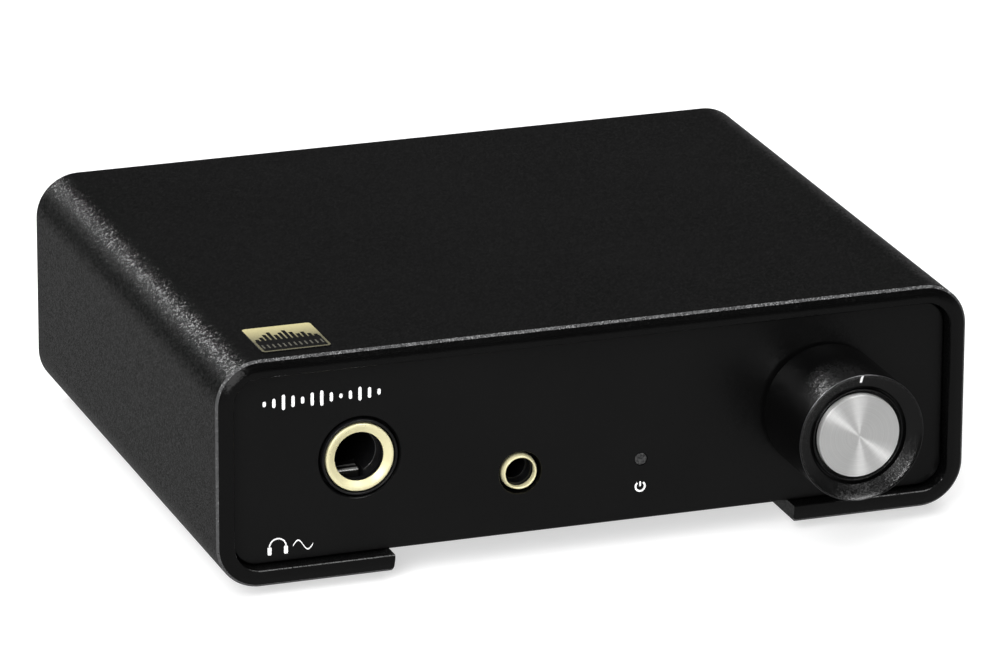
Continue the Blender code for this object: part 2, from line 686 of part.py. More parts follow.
# ---------------------------------------------------------------- volume control
def knob_profile():
    floor_y = DISH_DEPTH - KNOB_FRONT
    rim = KNOB_R - KNOB_EDGE
    inner = SHAFT_R + GAP
    profile = [(0, KNOB_SOCKET), (0, KNOB_FLOOR[0][1])]
    profile += KNOB_FLOOR
    for step in range(DISH_STEPS + 1):
        share = math.sin(math.pi / 2 * step / DISH_STEPS)
        rise = DISH_DEPTH * (DISH_CONE * share + (1 - DISH_CONE) * share ** DISH_CURL)
        profile.append((DISH_R + (rim - DISH_R) * share, floor_y - rise))
    profile += [
        (KNOB_R, KNOB_EDGE - KNOB_FRONT), (KNOB_R, -KNOB_CLEAR - 0.3), (KNOB_R - 0.3, -KNOB_CLEAR),
        (KNOB_HOLLOW_R, -KNOB_CLEAR), (KNOB_HOLLOW_R, KNOB_HOLLOW),
        (inner, KNOB_HOLLOW), (inner, KNOB_SOCKET),
    ]
    return profile


def build_volume():
    """Places are from the knob's axis at the front panel's face; the volume axis empty is there."""
    at = (KNOB_X, RECESS, KNOB_Z)
    floor = PART_Z - KNOB_Z
    body = part("volume_pot_body", block(-POT_HALF, POT_HALF, *POT_Y, floor, POT_TOP),
                "grey_plastic", at)
    shape(body, "DIFFERENCE", "cavity", turned(POT_CAVITY), at)
    half = POT_HALF - 0.5
    plate = block(-half, half, PANEL_T + 0.4, POT_Y[0] - GAP, floor + 0.5, half)
    bush = part("volume_pot_bush", plate, "steel", at, smooth=True)
    shape(bush, "UNION", "thread", rod(BUSH_R, -BUSH_END, BUSH_END), at)
    shape(bush, "DIFFERENCE", "shaft_hole", rod(SHAFT_R + GAP, -BUSH_END - 1, BUSH_END + 2), at)

    nut = part("volume_pot_nut", prism_y(hexagon(NUT_FLATS), NUT_FACE, -GAP), "steel", at)
    shape(nut, "DIFFERENCE", "thread", rod(BUSH_R + GAP, -BUSH_END, 1), at)

    axis = make_empty("volume_axis", at, chassis)
    shaft = part("volume_shaft", rod(SHAFT_R, *SHAFT_ENDS), "steel", parent=axis, smooth=True)
    flat = block(-SHAFT_R - 1, SHAFT_R + 1, SHAFT_ENDS[0] - 1, SHAFT_FLAT_START, SHAFT_FLAT, SHAFT_R + 1)
    shape(shaft, "DIFFERENCE", "flat", flat, parent=axis)
    front, back = WIPER_Y
    inner = SHAFT_R + GAP
    wiper = turned([(inner, front), (WIPER_R, front), (WIPER_R, back), (inner, back)])
    part("volume_wiper", wiper, "black_plastic", parent=axis, smooth=True)
    part("volume_knob", turned(knob_profile(), FINE), "anodised_black", parent=axis, smooth=True)
    cap = [
        (0, CAP_BACK), (CAP_R, CAP_BACK), (CAP_R, CAP_FACE + 0.1), (CAP_R - 0.1, CAP_FACE), (0, CAP_FACE),
    ]
    part("knob_cap", turned(cap, FINE), "spun_aluminium", parent=axis, smooth=True)


# ---------------------------------------------------------------- rear connectors
def build_rca():
    """Pair of line-out sockets. Places are from each axis at the rear panel's outer face."""
    left, right = RCA_X
    side = RCA_HOUSING_SIDE
    body = block(left - side, right + side, REAR_FACE - RCA_HOUSING_DEPTH, REAR_FRONT - GAP,
                 PART_Z, RCA_HOUSING_TOP)
    housing = part("rca_housing", body, "black_plastic")
    shell = [
        (RCA_R, RCA_BACK), (RCA_R, RCA_REACH - 0.2), (RCA_R - 0.2, RCA_REACH),
        (RCA_SHELL_R, RCA_REACH), (RCA_SHELL_R, RCA_BACK),
    ]
    outer = RCA_SHELL_R - GAP
    insulator = [
        (outer, RCA_BACK), (outer, RCA_REACH - 0.8), (outer - 0.2, RCA_REACH - 0.6),
        (2.0, RCA_REACH - 0.6), (1.75, RCA_REACH - 0.9), (1.75, RCA_REACH - 1.6),
        (2.2, RCA_REACH - 1.6), (2.2, RCA_BACK),
    ]
    inner_r, outer_r = RCA_CONTACT_R
    contact = [
        (outer_r, RCA_CONTACT_BACK), (outer_r, RCA_REACH - 2),
        (inner_r, RCA_REACH - 2), (inner_r, RCA_CONTACT_BACK),
    ]
    for side, x, colour in (("right", left, "red_plastic"), ("left", right, "white_plastic")):
        at = (x, REAR_FACE, RCA_Z)
        shape(housing, "DIFFERENCE", f"pocket_{side}", turned(RCA_POCKET), at)
        part(f"rca_shell_{side}", turned(shell), "nickel", at, smooth=True)
        part(f"rca_insulator_{side}", turned(insulator), colour, at, smooth=True)
        part(f"rca_contact_{side}", turned(contact, 16), "nickel", at, smooth=True)


def build_usb():
    at = (USB_X, REAR_FACE, USB_Z)
    back, front = USB_Y
    outer = rounded_rect(USB_W / 2, USB_H / 2, USB_H / 2 - 0.01, 6)
    inner = rounded_rect(USB_W / 2 - USB_T, USB_H / 2 - USB_T, USB_H / 2 - USB_T - 0.01, 6)
    shell = part("usb_c_shell", prism_y(outer, back, front), "steel", at, smooth=True)
    shape(shell, "DIFFERENCE", "mouth", prism_y(inner, back - 1, front + 1), at)
    tongue = part("usb_c_tongue", block(-3.35, 3.35, -7, -0.9, -0.35, 0.35), "black_plastic", at)
    base = rounded_rect(3.8, 1.0, 0.9, 4)
    shape(tongue, "UNION", "base", prism_y(base, -9.4, -6.4), at)


def build_gain_switch():
    at = (GAIN_X, REAR_FACE, GAIN_Z)
    half_x, half_z = GAIN_SLOT
    case = block(-5, 5, -GAIN_BODY_DEPTH, -PANEL_T - GAP, PART_Z - GAIN_Z, 2.9)
    body = part("gain_switch_body", case, "steel", at)
    slot = block(-half_x, half_x, GAIN_LEVER_Y[0] - 0.4, -2, -half_z, half_z)
    shape(body, "DIFFERENCE", "slot", slot, at)
    slider = make_empty("gain_slider", (GAIN_X - GAIN_TRAVEL / 2, REAR_FACE, GAIN_Z), chassis)
    half_x, half_z = GAIN_LEVER
    lever = block(-half_x, half_x, *GAIN_LEVER_Y, -half_z, half_z)
    part("gain_switch_lever", lever, "black_plastic", parent=slider)


def build_label():
    label = prism_y(rounded_rect(LABEL_W / 2, LABEL_T / 2, 0.02, 1), -LABEL_D / 2, LABEL_D / 2)
    lift = SLEEVE_H + LABEL_LIFT + LABEL_T / 2
    part("top_label", label, "label_foil", (LABEL_X, LABEL_Y, lift))


clear_scene()
materials = {name: make_material(name) for name in MATERIALS}
chassis = make_empty("chassis", (0, CHASSIS_Y, CHASSIS_Z))
build_sleeve()
build_front_panel()
build_rear_panel()
build_tray()
build_feet()
build_screws()
build_board()
build_jack_635()
build_jack_35()
build_led()
build_volume()
build_rca()
build_usb()
build_gain_switch()
build_label()
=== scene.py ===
import math

import bmesh
import bpy
from mathutils import Matrix, Vector


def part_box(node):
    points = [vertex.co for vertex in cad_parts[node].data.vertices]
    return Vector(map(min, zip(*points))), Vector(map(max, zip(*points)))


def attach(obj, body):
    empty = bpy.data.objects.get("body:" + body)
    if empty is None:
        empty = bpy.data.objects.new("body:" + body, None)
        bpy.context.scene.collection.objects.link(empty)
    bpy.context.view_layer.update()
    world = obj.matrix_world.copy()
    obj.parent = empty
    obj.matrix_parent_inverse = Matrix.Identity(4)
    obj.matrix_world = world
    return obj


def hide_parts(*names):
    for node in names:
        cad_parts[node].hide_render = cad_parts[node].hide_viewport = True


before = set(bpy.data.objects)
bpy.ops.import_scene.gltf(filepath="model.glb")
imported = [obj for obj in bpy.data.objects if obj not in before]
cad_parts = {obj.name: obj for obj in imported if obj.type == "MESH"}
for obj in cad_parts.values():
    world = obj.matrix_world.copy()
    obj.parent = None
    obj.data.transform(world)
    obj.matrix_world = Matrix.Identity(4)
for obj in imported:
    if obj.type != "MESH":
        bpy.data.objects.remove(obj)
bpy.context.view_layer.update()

MM = 0.001
sleeve_low, sleeve_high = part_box("sleeve")
ORIGIN = Vector(((sleeve_low.x + sleeve_high.x) / 2, sleeve_low.y, sleeve_low.z)) / MM


class Box:
    """A CAD node's box, in millimetres from ORIGIN."""

    def __init__(self, node):
        low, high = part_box(node)
        self.low = low / MM - ORIGIN
        self.high = high / MM - ORIGIN
        self.mid = (self.low + self.high) / 2
        self.size = self.high - self.low


# ---------------- dimensions
FINEST, FINE, MEDIUM, ROUND, COARSE, SMALL = 160, 128, 96, 64, 48, 32    # sides of a round shape
SLEEVE = Box("sleeve")
FRONT = Box("front_panel")
REAR = Box("rear_panel")
PANEL_T = 3.0
PANEL_CORNER_R = 3.73
PANEL_FACE = FRONT.low.y
REAR_FACE = REAR.high.y
MID_Z = SLEEVE.size.z / 2
SCREW_HOLE_R = 1.4


# ---------------- mesh helpers
def arc(cx, cy, radius, start, end, steps=6, ry=None):
    """Points on an arc (or an ellipse with the second radius ry), angles in degrees."""
    ry = radius if ry is None else ry
    points = []
    for step in range(steps + 1):
        angle = math.radians(start + (end - start) * step / steps)
        points.append((cx + radius * math.cos(angle), cy + ry * math.sin(angle)))
    return points


def rounded_rect(half_x, half_z, radius, steps=8, cx=0.0, cz=0.0):
    """Closed outline, anticlockwise seen from the front."""
    points = []
    for quarter, (sx, sz) in enumerate(((1, 1), (-1, 1), (-1, -1), (1, -1))):
        points += arc(cx + sx * (half_x - radius), cz + sz * (half_z - radius), radius,
                      90 * quarter, 90 * quarter + 90, steps)
    return points


def circle(radius, cx=0.0, cz=0.0, segments=ROUND):
    return arc(cx, cz, radius, 0, 360 - 360 / segments, segments - 1)


def block(x0, x1, y0, y1, z0, z1):
    bm = bmesh.new()
    size = Matrix.Diagonal((x1 - x0, y1 - y0, z1 - z0, 1.0))
    centre = Matrix.Translation(((x0 + x1) / 2, (y0 + y1) / 2, (z0 + z1) / 2))
    bmesh.ops.create_cube(bm, size=1.0, matrix=centre @ size)
    return bm


def patch(bm, corners, material=0):
    """Face through the corners, each taken once; there is none if fewer than three are left."""
    corners = list(dict.fromkeys(corners))
    if len(corners) > 2:
        bm.faces.new(corners).material_index = material


def bridge(bm, ring, following, material=0):
    """Faces between two closed rings of equal length, or between a ring and a single point."""
    count = max(len(ring), len(following))
    for i in range(count):
        pair = (i, (i + 1) % count)
        corners = [ring[k % len(ring)] for k in pair]
        corners += [following[k % len(following)] for k in reversed(pair)]
        patch(bm, corners, material)


def ribbon(bm, line, following, material=0):
    """Faces between two open lines of equal length."""
    for i in range(len(line) - 1):
        patch(bm, (line[i], line[i + 1], following[i + 1], following[i]), material)


def place(axis, a, b, along):
    """A point from its two coordinates across an axis and the one along it."""
    return (a, along, b) if axis == "Y" else (a, b, along)


def loft(sections, axis="Y", bm=None):
    """Closed body through outlines of equal length: sections is a list of (distance, outline)."""
    bm = bm or bmesh.new()
    rings = [[bm.verts.new(place(axis, a, b, along)) for a, b in outline] for along, outline in sections]
    for ring, following in zip(rings, rings[1:]):
        bridge(bm, ring, following)
    bm.faces.new(rings[0])
    bm.faces.new(reversed(rings[-1]))
    return bm


def turned(profile, segments=ROUND, axis="Y", second=()):
    """Turns a closed profile of (radius, distance along the axis) points about an axis.  The profile's
    steps listed in second get the piece's second material."""
    bm = bmesh.new()
    rings = []
    for radius, along in profile:
        ring = []
        for i in range(segments if radius > 1e-6 else 1):
            angle = 2 * math.pi * i / segments
            ring.append(bm.verts.new(place(axis, radius * math.cos(angle), radius * math.sin(angle), along)))
        rings.append(ring)
    for step, (ring, following) in enumerate(zip(rings, rings[1:] + rings[:1])):
        bridge(bm, ring, following, int(step in second))
    return bm


def rod(radius, along0, along1, segments=SMALL, axis="Y"):
    return turned([(0, along0), (radius, along0), (radius, along1), (0, along1)], segments, axis)


def plate(contours, levels, axis="Y"):
    """Flat plate with holes.  Each contour is a function of the inset that gives its outline; levels is a
    list of (distance, inset) from one face to the other."""
    bm = bmesh.new()
    faces = ([], [])
    for contour in contours:
        rings = []
        for along, inset in levels:
            rings.append([bm.verts.new(place(axis, a, b, along)) for a, b in contour(inset)])
        for ring, following in zip(rings, rings[1:]):
            bridge(bm, ring, following)
        for edges, ring in zip(faces, (rings[0], rings[-1])):
            for i, vert in enumerate(ring):
                edges.append(bm.edges.get((vert, ring[(i + 1) % len(ring)])))
    for edges in faces:
        bmesh.ops.triangle_fill(bm, use_beauty=True, use_dissolve=False, edges=edges)
    return bm


def smooth_line(path, steps=5):
    """Points along the Catmull-Rom curve through the path's points."""
    line = []
    last = len(path) - 2
    for k in range(len(path) - 1):
        p = [Vector(path[min(max(k + d, 0), len(path) - 1)]) for d in (-1, 0, 1, 2)]
        for step in range(steps + (k == last)):
            t = step / steps
            line.append(0.5 * (2 * p[1] + (p[2] - p[0]) * t + (2 * p[0] - 5 * p[1] + 4 * p[2] - p[3]) * t * t
                               + (3 * p[1] - p[0] - 3 * p[2] + p[3]) * t * t * t))
    return line


def strip(path, thickness, low, high, plane):
    """Bent sheet-metal strip. path is its centre line in plane "XY" or "YZ", rounded at each bend, and low
    and high are its edges along the third axis."""
    line = smooth_line(path)
    left, right = [], []
    for i, point in enumerate(line):
        along = (line[min(i + 1, len(line) - 1)] - line[max(i - 1, 0)]).normalized()
        normal = Vector((-along.y, along.x)) * thickness / 2
        left.append(point + normal)
        right.append(point - normal)
    outline = left + right[::-1]
    edge = min(0.06, thickness / 4)
    bm = bmesh.new()
    rings = []
    for third, inset in ((low, edge), (low + edge, 0), (high - edge, 0), (high, edge)):
        ring = []
        for side, centre in zip(outline, line + line[::-1]):
            p = side + (centre - side).normalized() * inset
            ring.append(bm.verts.new((p.x, p.y, third) if plane == "XY" else (third, p.x, p.y)))
        rings.append(ring)
    for ring, following in zip(rings, rings[1:]):
        bridge(bm, ring, following)
    for ring in (rings[0], rings[-1]):
        ribbon(bm, ring[:len(line)], ring[:len(line) - 1:-1])
    return bm


def raw_object(name, bm, at):
    bmesh.ops.scale(bm, vec=(MM, MM, MM), verts=bm.verts)
    bmesh.ops.recalc_face_normals(bm, faces=bm.faces)
    mesh = bpy.data.meshes.new(name)
    bm.to_mesh(mesh)
    bm.free()
    obj = bpy.data.objects.new(name, mesh)
    bpy.context.scene.collection.objects.link(obj)
    obj.location = (ORIGIN + Vector(at)) * MM
    return obj


def combine(obj, operation, tools):
    """Adds (UNION) or cuts away (DIFFERENCE) closed shapes, given as (bmesh, place) pairs."""
    for bm, at in tools:
        tool = raw_object("tool", bm, at)
        for slot_material in obj.data.materials:
            tool.data.materials.append(slot_material)
        modifier = obj.modifiers.new("combine", "BOOLEAN")
        modifier.operation = operation
        modifier.solver = "EXACT"
        modifier.object = tool
        bpy.context.view_layer.update()
        result = bpy.data.meshes.new_from_object(obj.evaluated_get(bpy.context.evaluated_depsgraph_get()))
        obj.modifiers.clear()
        obj.data = result
        bpy.data.objects.remove(tool)


def piece(name, bm, at, looks, node=None, body="chassis", angle=32.0, add=(), cut=()):
    """A finished piece, hung on its body; node is the CAD node that it stands for, and angle is the bend,
    in degrees, from which an edge stays sharp."""
    looks = looks if isinstance(looks, tuple) else (looks,)
    obj = raw_object(name, bm, at)
    for look in looks:
        obj.data.materials.append(look)
    combine(obj, "UNION", add)
    combine(obj, "DIFFERENCE", cut)
    obj.data.shade_smooth()
    obj.data.set_sharp_from_angle(angle=math.radians(angle))
    modifier = obj.modifiers.new("normals", "WEIGHTED_NORMAL")
    modifier.keep_sharp = True
    modifier.weight = 60
    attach(obj, body)
    if node:
        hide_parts(node)


# ---------------- material helpers
NOISE_BAND = (0.3, 0.7)    # where nearly all of a noise's values lie
NARROW_BAND = (0.35, 0.65)    # gives patches with a firmer edge


class Graph:
    """Adds nodes to a node tree."""

    def __init__(self, tree):
        self.tree = tree

    def feed(self, socket, value):
        """Links the socket to an output or sets it; a colour is given as three numbers."""
        if isinstance(value, bpy.types.NodeSocket):
            self.tree.links.new(value, socket)
        elif isinstance(value, tuple) and len(socket.default_value) == 4:
            socket.default_value = (*value, 1.0)
        else:
            socket.default_value = value

    def node(self, kind, **inputs):
        node = self.tree.nodes.new(kind)
        for name, value in inputs.items():
            self.feed(node.inputs[name.replace("_", " ")], value)
        return node

    def split(self, vector):
        return self.node("ShaderNodeSeparateXYZ", Vector=vector).outputs

    def calculate(self, kind, operation, *values):
        node = self.tree.nodes.new(kind)
        node.operation = operation
        for socket, value in zip(node.inputs, values):
            self.feed(socket, value)
        return node.outputs

    def maths(self, operation, *values):
        return self.calculate("ShaderNodeMath", operation, *values)["Value"]

    def vector_maths(self, operation, *values):
        return self.calculate("ShaderNodeVectorMath", operation, *values)["Vector"]

    def map_range(self, value, low, high, out_low, out_high):
        return self.node("ShaderNodeMapRange", Value=value, From_Min=low, From_Max=high, To_Min=out_low,
                         To_Max=out_high)


class Look(Graph):
    """A node material being built; its textures read the piece's own coordinates, in metres."""

    def __init__(self, name, **sockets):
        self.material = bpy.data.materials.new(name)
        self.material.use_nodes = True
        super().__init__(self.material.node_tree)
        self.shader = self.tree.nodes["Principled BSDF"]
        for socket, value in sockets.items():
            self.feed(self.shader.inputs[socket.replace("_", " ")], value)
        self.place = self.tree.nodes.new("ShaderNodeTexCoord").outputs["Object"]

    def put(self, socket, output):
        self.tree.links.new(output, self.shader.inputs[socket])

    def stretched(self, x, y, z):
        return self.node("ShaderNodeMapping", Vector=self.place, Scale=(x, y, z)).outputs["Vector"]

    def noise(self, scale, detail=2.0, roughness=0.5, where=None):
        node = self.node("ShaderNodeTexNoise", Vector=where or self.place, Scale=scale, Detail=detail,
                         Roughness=roughness)
        return node.outputs["Fac"]

    def between(self, value, low, high, out_low, out_high):
        return self.map_range(value, low, high, out_low, out_high).outputs["Result"]

    def spread(self, noise, out_low=0.0, out_high=1.0, band=NOISE_BAND):
        """A noise's band stretched to run from out_low to out_high."""
        return self.between(noise, *band, out_low, out_high)

    def facets(self, layers):
        """Surface normal tipped by random cells; layers is a list of (cells per metre, tilt)."""
        normal = self.node("ShaderNodeNewGeometry").outputs["Normal"]
        for scale, tilt in layers:
            cell = self.node("ShaderNodeTexVoronoi", Vector=self.place, Scale=scale).outputs["Color"]
            away = self.vector_maths("SUBTRACT", cell, (0.5, 0.5, 0.5))
            normal = self.vector_maths("MULTIPLY_ADD", away, (tilt, tilt, tilt), normal)
        return self.vector_maths("NORMALIZE", normal)

    def blend(self, factor, first, second, kind="MIX"):
        """Colour that goes from first to second (MULTIPLY: to their product) as factor goes from 0 to 1."""
        node = self.tree.nodes.new("ShaderNodeMix")
        node.data_type = "RGBA"
        node.blend_type = kind
        for index, value in ((0, factor), (6, first), (7, second)):
            self.feed(node.inputs[index], value)
        return node.outputs[2]

    def surface(self, colour, roughness, normal):
        self.put("Base Color", colour)
        self.put("Roughness", roughness)
        self.put("Normal", normal)
        return self.material

    def bump(self, height, depth):
        """Normal tipped by a height map; depth is in millimetres."""
        node = self.node("ShaderNodeBump", Height=height, Strength=1.0, Distance=depth * MM)
        return node.outputs["Normal"]


def shade(colour, share):
    return tuple(part * share for part in colour)


def blasted_black(name, base=0.0022, roughness=0.22, tilt=0.21, specular=0.5, scale=4300.0, metallic=0.0):
    """Bead-blasted, black anodised aluminium: small facets that each face a slightly different way."""
    look = Look(name, Specular_IOR_Level=specular, Metallic=metallic)
    cloud = look.noise(45.0, 3.0, 0.5)
    dark = tuple(base * part for part in (0.85, 0.85, 0.87))
    light = tuple(base * part for part in (1.2, 1.2, 1.22))
    return look.surface(
        look.blend(look.spread(cloud), dark, light),
        look.spread(cloud, roughness - 0.012, roughness + 0.012),
        look.facets(((scale, tilt), (scale * 1.9, tilt))))


def moulded(name, colour, roughness=0.45, variation=0.25, depth=0.006, scale=2500.0, specular=0.5):
    """Moulded plastic with a fine spark-eroded grain."""
    look = Look(name, Specular_IOR_Level=specular)
    cloud = look.noise(120.0, 3.0, 0.55)
    return look.surface(
        look.blend(look.spread(cloud), shade(colour, 1 - variation), shade(colour, 1 + variation)),
        look.spread(look.noise(600.0), roughness - 0.06, roughness + 0.06),
        look.bump(look.noise(scale), depth))


def metal(name, colour, roughness, variation=0.08, depth=0.002, scale=900.0, stretch=(1, 1, 1),
          metallic=1.0):
    """Plated or bare metal with faint rolling marks."""
    look = Look(name, Metallic=metallic)
    marks = look.noise(scale, 4.0, 0.6, look.stretched(*stretch))
    cloud = look.noise(160.0)
    return look.surface(
        look.blend(look.spread(cloud), shade(colour, 1 - variation), colour),
        look.spread(marks, roughness * 0.75, roughness * 1.3),
        look.bump(marks, depth))


def spring_painted_highlights():
    """Contact spring painted near black, with painted highlights: its colour is painted pale along its two
    bends, where the curved leaf catches the light.
    """
    look = Look("spring_contact_painted_highlights", Metallic=0.8)
    along = look.split(look.place)["Y"]
    bends = []
    for bend, half, amount in ((4.38, 0.28, 1.0), (5.55, 0.2, 0.5)):
        away = look.maths("ABSOLUTE", look.maths("SUBTRACT", along, bend * MM))
        bends.append(look.between(away, half * 0.6 * MM, half * MM, amount, 0.0))
    # Painted highlights: a mask that is 1 along each bend and fades out beside it.
    painted_bend_highlights = look.maths("MAXIMUM", *bends)
    scratches = look.noise(2200.0, 3.0, 0.6, look.stretched(1, 5, 5))
    return look.surface(
        look.blend(painted_bend_highlights, (0.02, 0.02, 0.02), (0.97, 0.97, 0.95)),
        look.spread(scratches, 0.25, 0.4),
        look.bump(scratches, 0.002))


def turned_metal(name, colour, roughness, anisotropy, pitch, depth):
    """Metal faced on a lathe: concentric lines about the piece's own Y axis, pitch in millimetres."""
    look = Look(name, Metallic=0.78, Anisotropic=anisotropy, Anisotropic_Rotation=0.25)
    split = look.split(look.place)
    flat = look.node("ShaderNodeCombineXYZ", X=split["X"], Z=split["Z"]).outputs["Vector"]
    radius = look.calculate("ShaderNodeVectorMath", "LENGTH", flat)["Value"]
    line_at = look.node("ShaderNodeCombineXYZ", X=radius).outputs["Vector"]
    lines = look.noise(1.0 / (pitch * MM), 3.0, 0.75, line_at)
    tangent = look.node("ShaderNodeTangent")
    tangent.direction_type = "RADIAL"
    tangent.axis = "Y"
    look.put("Tangent", tangent.outputs["Tangent"])
    return look.surface(
        look.blend(look.spread(lines), shade(colour, 0.82), colour),
        look.spread(lines, roughness * 0.85, roughness * 1.2),
        look.bump(lines, depth))


def ink(name, colour, roughness=0.55, specular=0.5):
    """Screen-printed ink, slightly uneven."""
    look = Look(name, Specular_IOR_Level=specular)
    grain = look.noise(1800.0, 3.0, 0.6)
    return look.surface(
        look.blend(look.spread(grain, band=NARROW_BAND), shade(colour, 0.86), colour),
        look.spread(grain, roughness - 0.05, roughness + 0.08),
        look.bump(grain, 0.003))


def gold_print():
    """Printed gold foil, paler towards its rear edge: part metal, part pigment, faintly brushed."""
    look = Look("label_gold", Metallic=0.3)
    along = look.split(look.place)["Y"]
    rise = look.between(along, -1.0 * MM, 4.5 * MM, 0.0, 1.0)
    brushed = look.noise(1500.0, 4.0, 0.6, look.stretched(1, 6, 1))
    tone = look.blend(rise, (0.16, 0.15, 0.095), (0.62, 0.56, 0.30))
    streaks = look.blend(look.spread(brushed), (0.86, 0.86, 0.86), (1.0, 1.0, 1.0))
    return look.surface(
        look.blend(1.0, tone, streaks, "MULTIPLY"),
        look.spread(brushed, 0.42, 0.58),
        look.bump(brushed, 0.002))


def frosted():
    look = Look("frosted_lens", Transmission_Weight=0.35, IOR=1.49)
    frost = look.spread(look.noise(3200.0, 2.0, 0.6), band=NARROW_BAND)
    return look.surface(
        look.blend(frost, (0.008, 0.008, 0.009), (0.07, 0.07, 0.07)),
        look.spread(frost, 0.5, 0.7),
        look.bump(frost, 0.01))


def solder_mask():
    look = Look("solder_mask")
    tracks = look.node("ShaderNodeTexBrick", Vector=look.place, Scale=120.0, Color1=(0.012, 0.035, 0.02),
                       Color2=(0.010, 0.030, 0.018), Mortar=(0.02, 0.06, 0.035)).outputs
    roughness = look.spread(look.noise(500.0), 0.3, 0.42)
    return look.surface(tracks["Color"], roughness, look.bump(tracks["Fac"], 0.02))


BLACK = blasted_black("blasted_black")
# Paler copy of the blasted black for the sleeve's end chamfers. The raised base colour is painted highlight
# along the edge. The smoother, more specular finish, the metal share and the coarser facets are the
# chamfer's own.
CHAMFER_PAINTED_HIGHLIGHT = blasted_black("blasted_edge_painted_highlight", base=0.06, roughness=0.26, tilt=0.6, specular=1.0, scale=2800.0,
                     metallic=0.25)
FACE = blasted_black("blasted_rim", base=0.0006, roughness=0.17, tilt=0.06, specular=0.58)
PANEL_BLACK = blasted_black("panel_black", base=0.0016, roughness=0.30, tilt=0.06, specular=0.54)
KNOB_BLACK = blasted_black("knob_black", base=0.0007, roughness=0.26, tilt=0.15, specular=0.85,
                           scale=5200.0)
RIM_CUT = metal("rim_cut", (0.30, 0.30, 0.31), 0.34, variation=0.05, scale=1400.0)
MOULDED = moulded("moulded_black", (0.005, 0.005, 0.0055), 0.36, specular=0.4)
# Paler, glossier copy of the moulded black for the jack's throat edge: the paler colour is painted
# highlight.
MOULDED_PAINTED_HIGHLIGHT = moulded("moulded_edge_painted_highlight", (0.03, 0.03, 0.032), 0.25, specular=1.0)
GREY = moulded("moulded_grey", (0.10, 0.10, 0.10), 0.5)
GOLD = metal("gold_plate", (0.93, 0.87, 0.54), 0.34, depth=0.0004, metallic=0.5)
CAP = turned_metal("spun_aluminium", (0.95, 0.95, 0.94), 0.45, anisotropy=0.95, pitch=0.2,
                   depth=0.006)
NICKEL = metal("nickel", (0.66, 0.64, 0.60), 0.22, scale=1100.0)
SPRING = spring_painted_highlights()
STEEL = metal("steel", (0.47, 0.47, 0.49), 0.34, variation=0.12, depth=0.003, stretch=(1, 8, 1))
SCREW = metal("black_oxide", (0.035, 0.035, 0.037), 0.36, variation=0.2, depth=0.004, scale=1600.0)
RUBBER = moulded("rubber", (0.018, 0.018, 0.018), 0.8, variation=0.2, depth=0.02, scale=1800.0,
                 specular=0.35)
BOARD = solder_mask()
EPOXY = moulded("chip_epoxy", (0.02, 0.02, 0.021), 0.55, variation=0.2, depth=0.01, scale=3000.0)
WHITE = moulded("white_insulator", (0.76, 0.76, 0.73), 0.4, variation=0.04)
RED = moulded("red_insulator", (0.55, 0.02, 0.02), 0.4, variation=0.08)
LENS = frosted()
INK = ink("white_ink", (0.82, 0.82, 0.82))
FOIL = gold_print()
FOIL_INK = ink("label_ink", (0.003, 0.003, 0.003), 0.42, specular=0.3)
FOIL_TICK = ink("label_tick", (0.085, 0.082, 0.066), 0.5)


# ---------------- sleeve
WALL = 2.6
CORNER_R = 6.58
CORNER_STEPS = 16
CHANNEL_HALF = 30.8    # half of the gap between the two lips underneath
LIP_CHAMFER = 0.3
BOSS = 6.0
BOSS_R = 2.8
POCKET_STEP = 0.1    # the wall is this much thicker behind each panel's pocket
POCKET_DEPTH = 5.3
EDGE_STEPS = ((0.0, 1.9), (0.05, 1.5), (0.22, 1.0), (0.46, 0.36), (0.77, 0.0))    # from the end, inset
MOUTH_CHAMFER = 0.12
MOUTH_STEPS = (0.0, MOUTH_CHAMFER, 0.3, 0.6, 1.0)    # from the end, inside
CORNER_SCREW_DEPTH = 10.0
BODY_LOOK, CHAMFER_HIGHLIGHT_LOOK, RIM_LOOK = 0, 1, 2


def channel_outline(half_x, half_z, radius, chamfer, boss=False):
    """Outline open underneath: from the right lip's end round the right side, top and left side to the
    left lip's end.  With boss, each corner is a square screw boss with one rounded corner."""
    if boss:
        centre = BOSS - BOSS_R
        quarter = [(half_x, half_z - BOSS)]
        quarter += arc(half_x - centre, half_z - centre, BOSS_R, 270, 180, CORNER_STEPS - 2)
        quarter.append((half_x - BOSS, half_z))
    else:
        quarter = arc(half_x - radius, half_z - radius, radius, 0, 90, CORNER_STEPS)
    low = -half_z
    right = [(CHANNEL_HALF, low + chamfer), (CHANNEL_HALF + chamfer, low)]
    right += [(x, -z) for x, z in reversed(quarter)] + quarter
    left = [(-x, z) for x, z in reversed(right)]
    return [(x, z + MID_Z) for x, z in right + left]


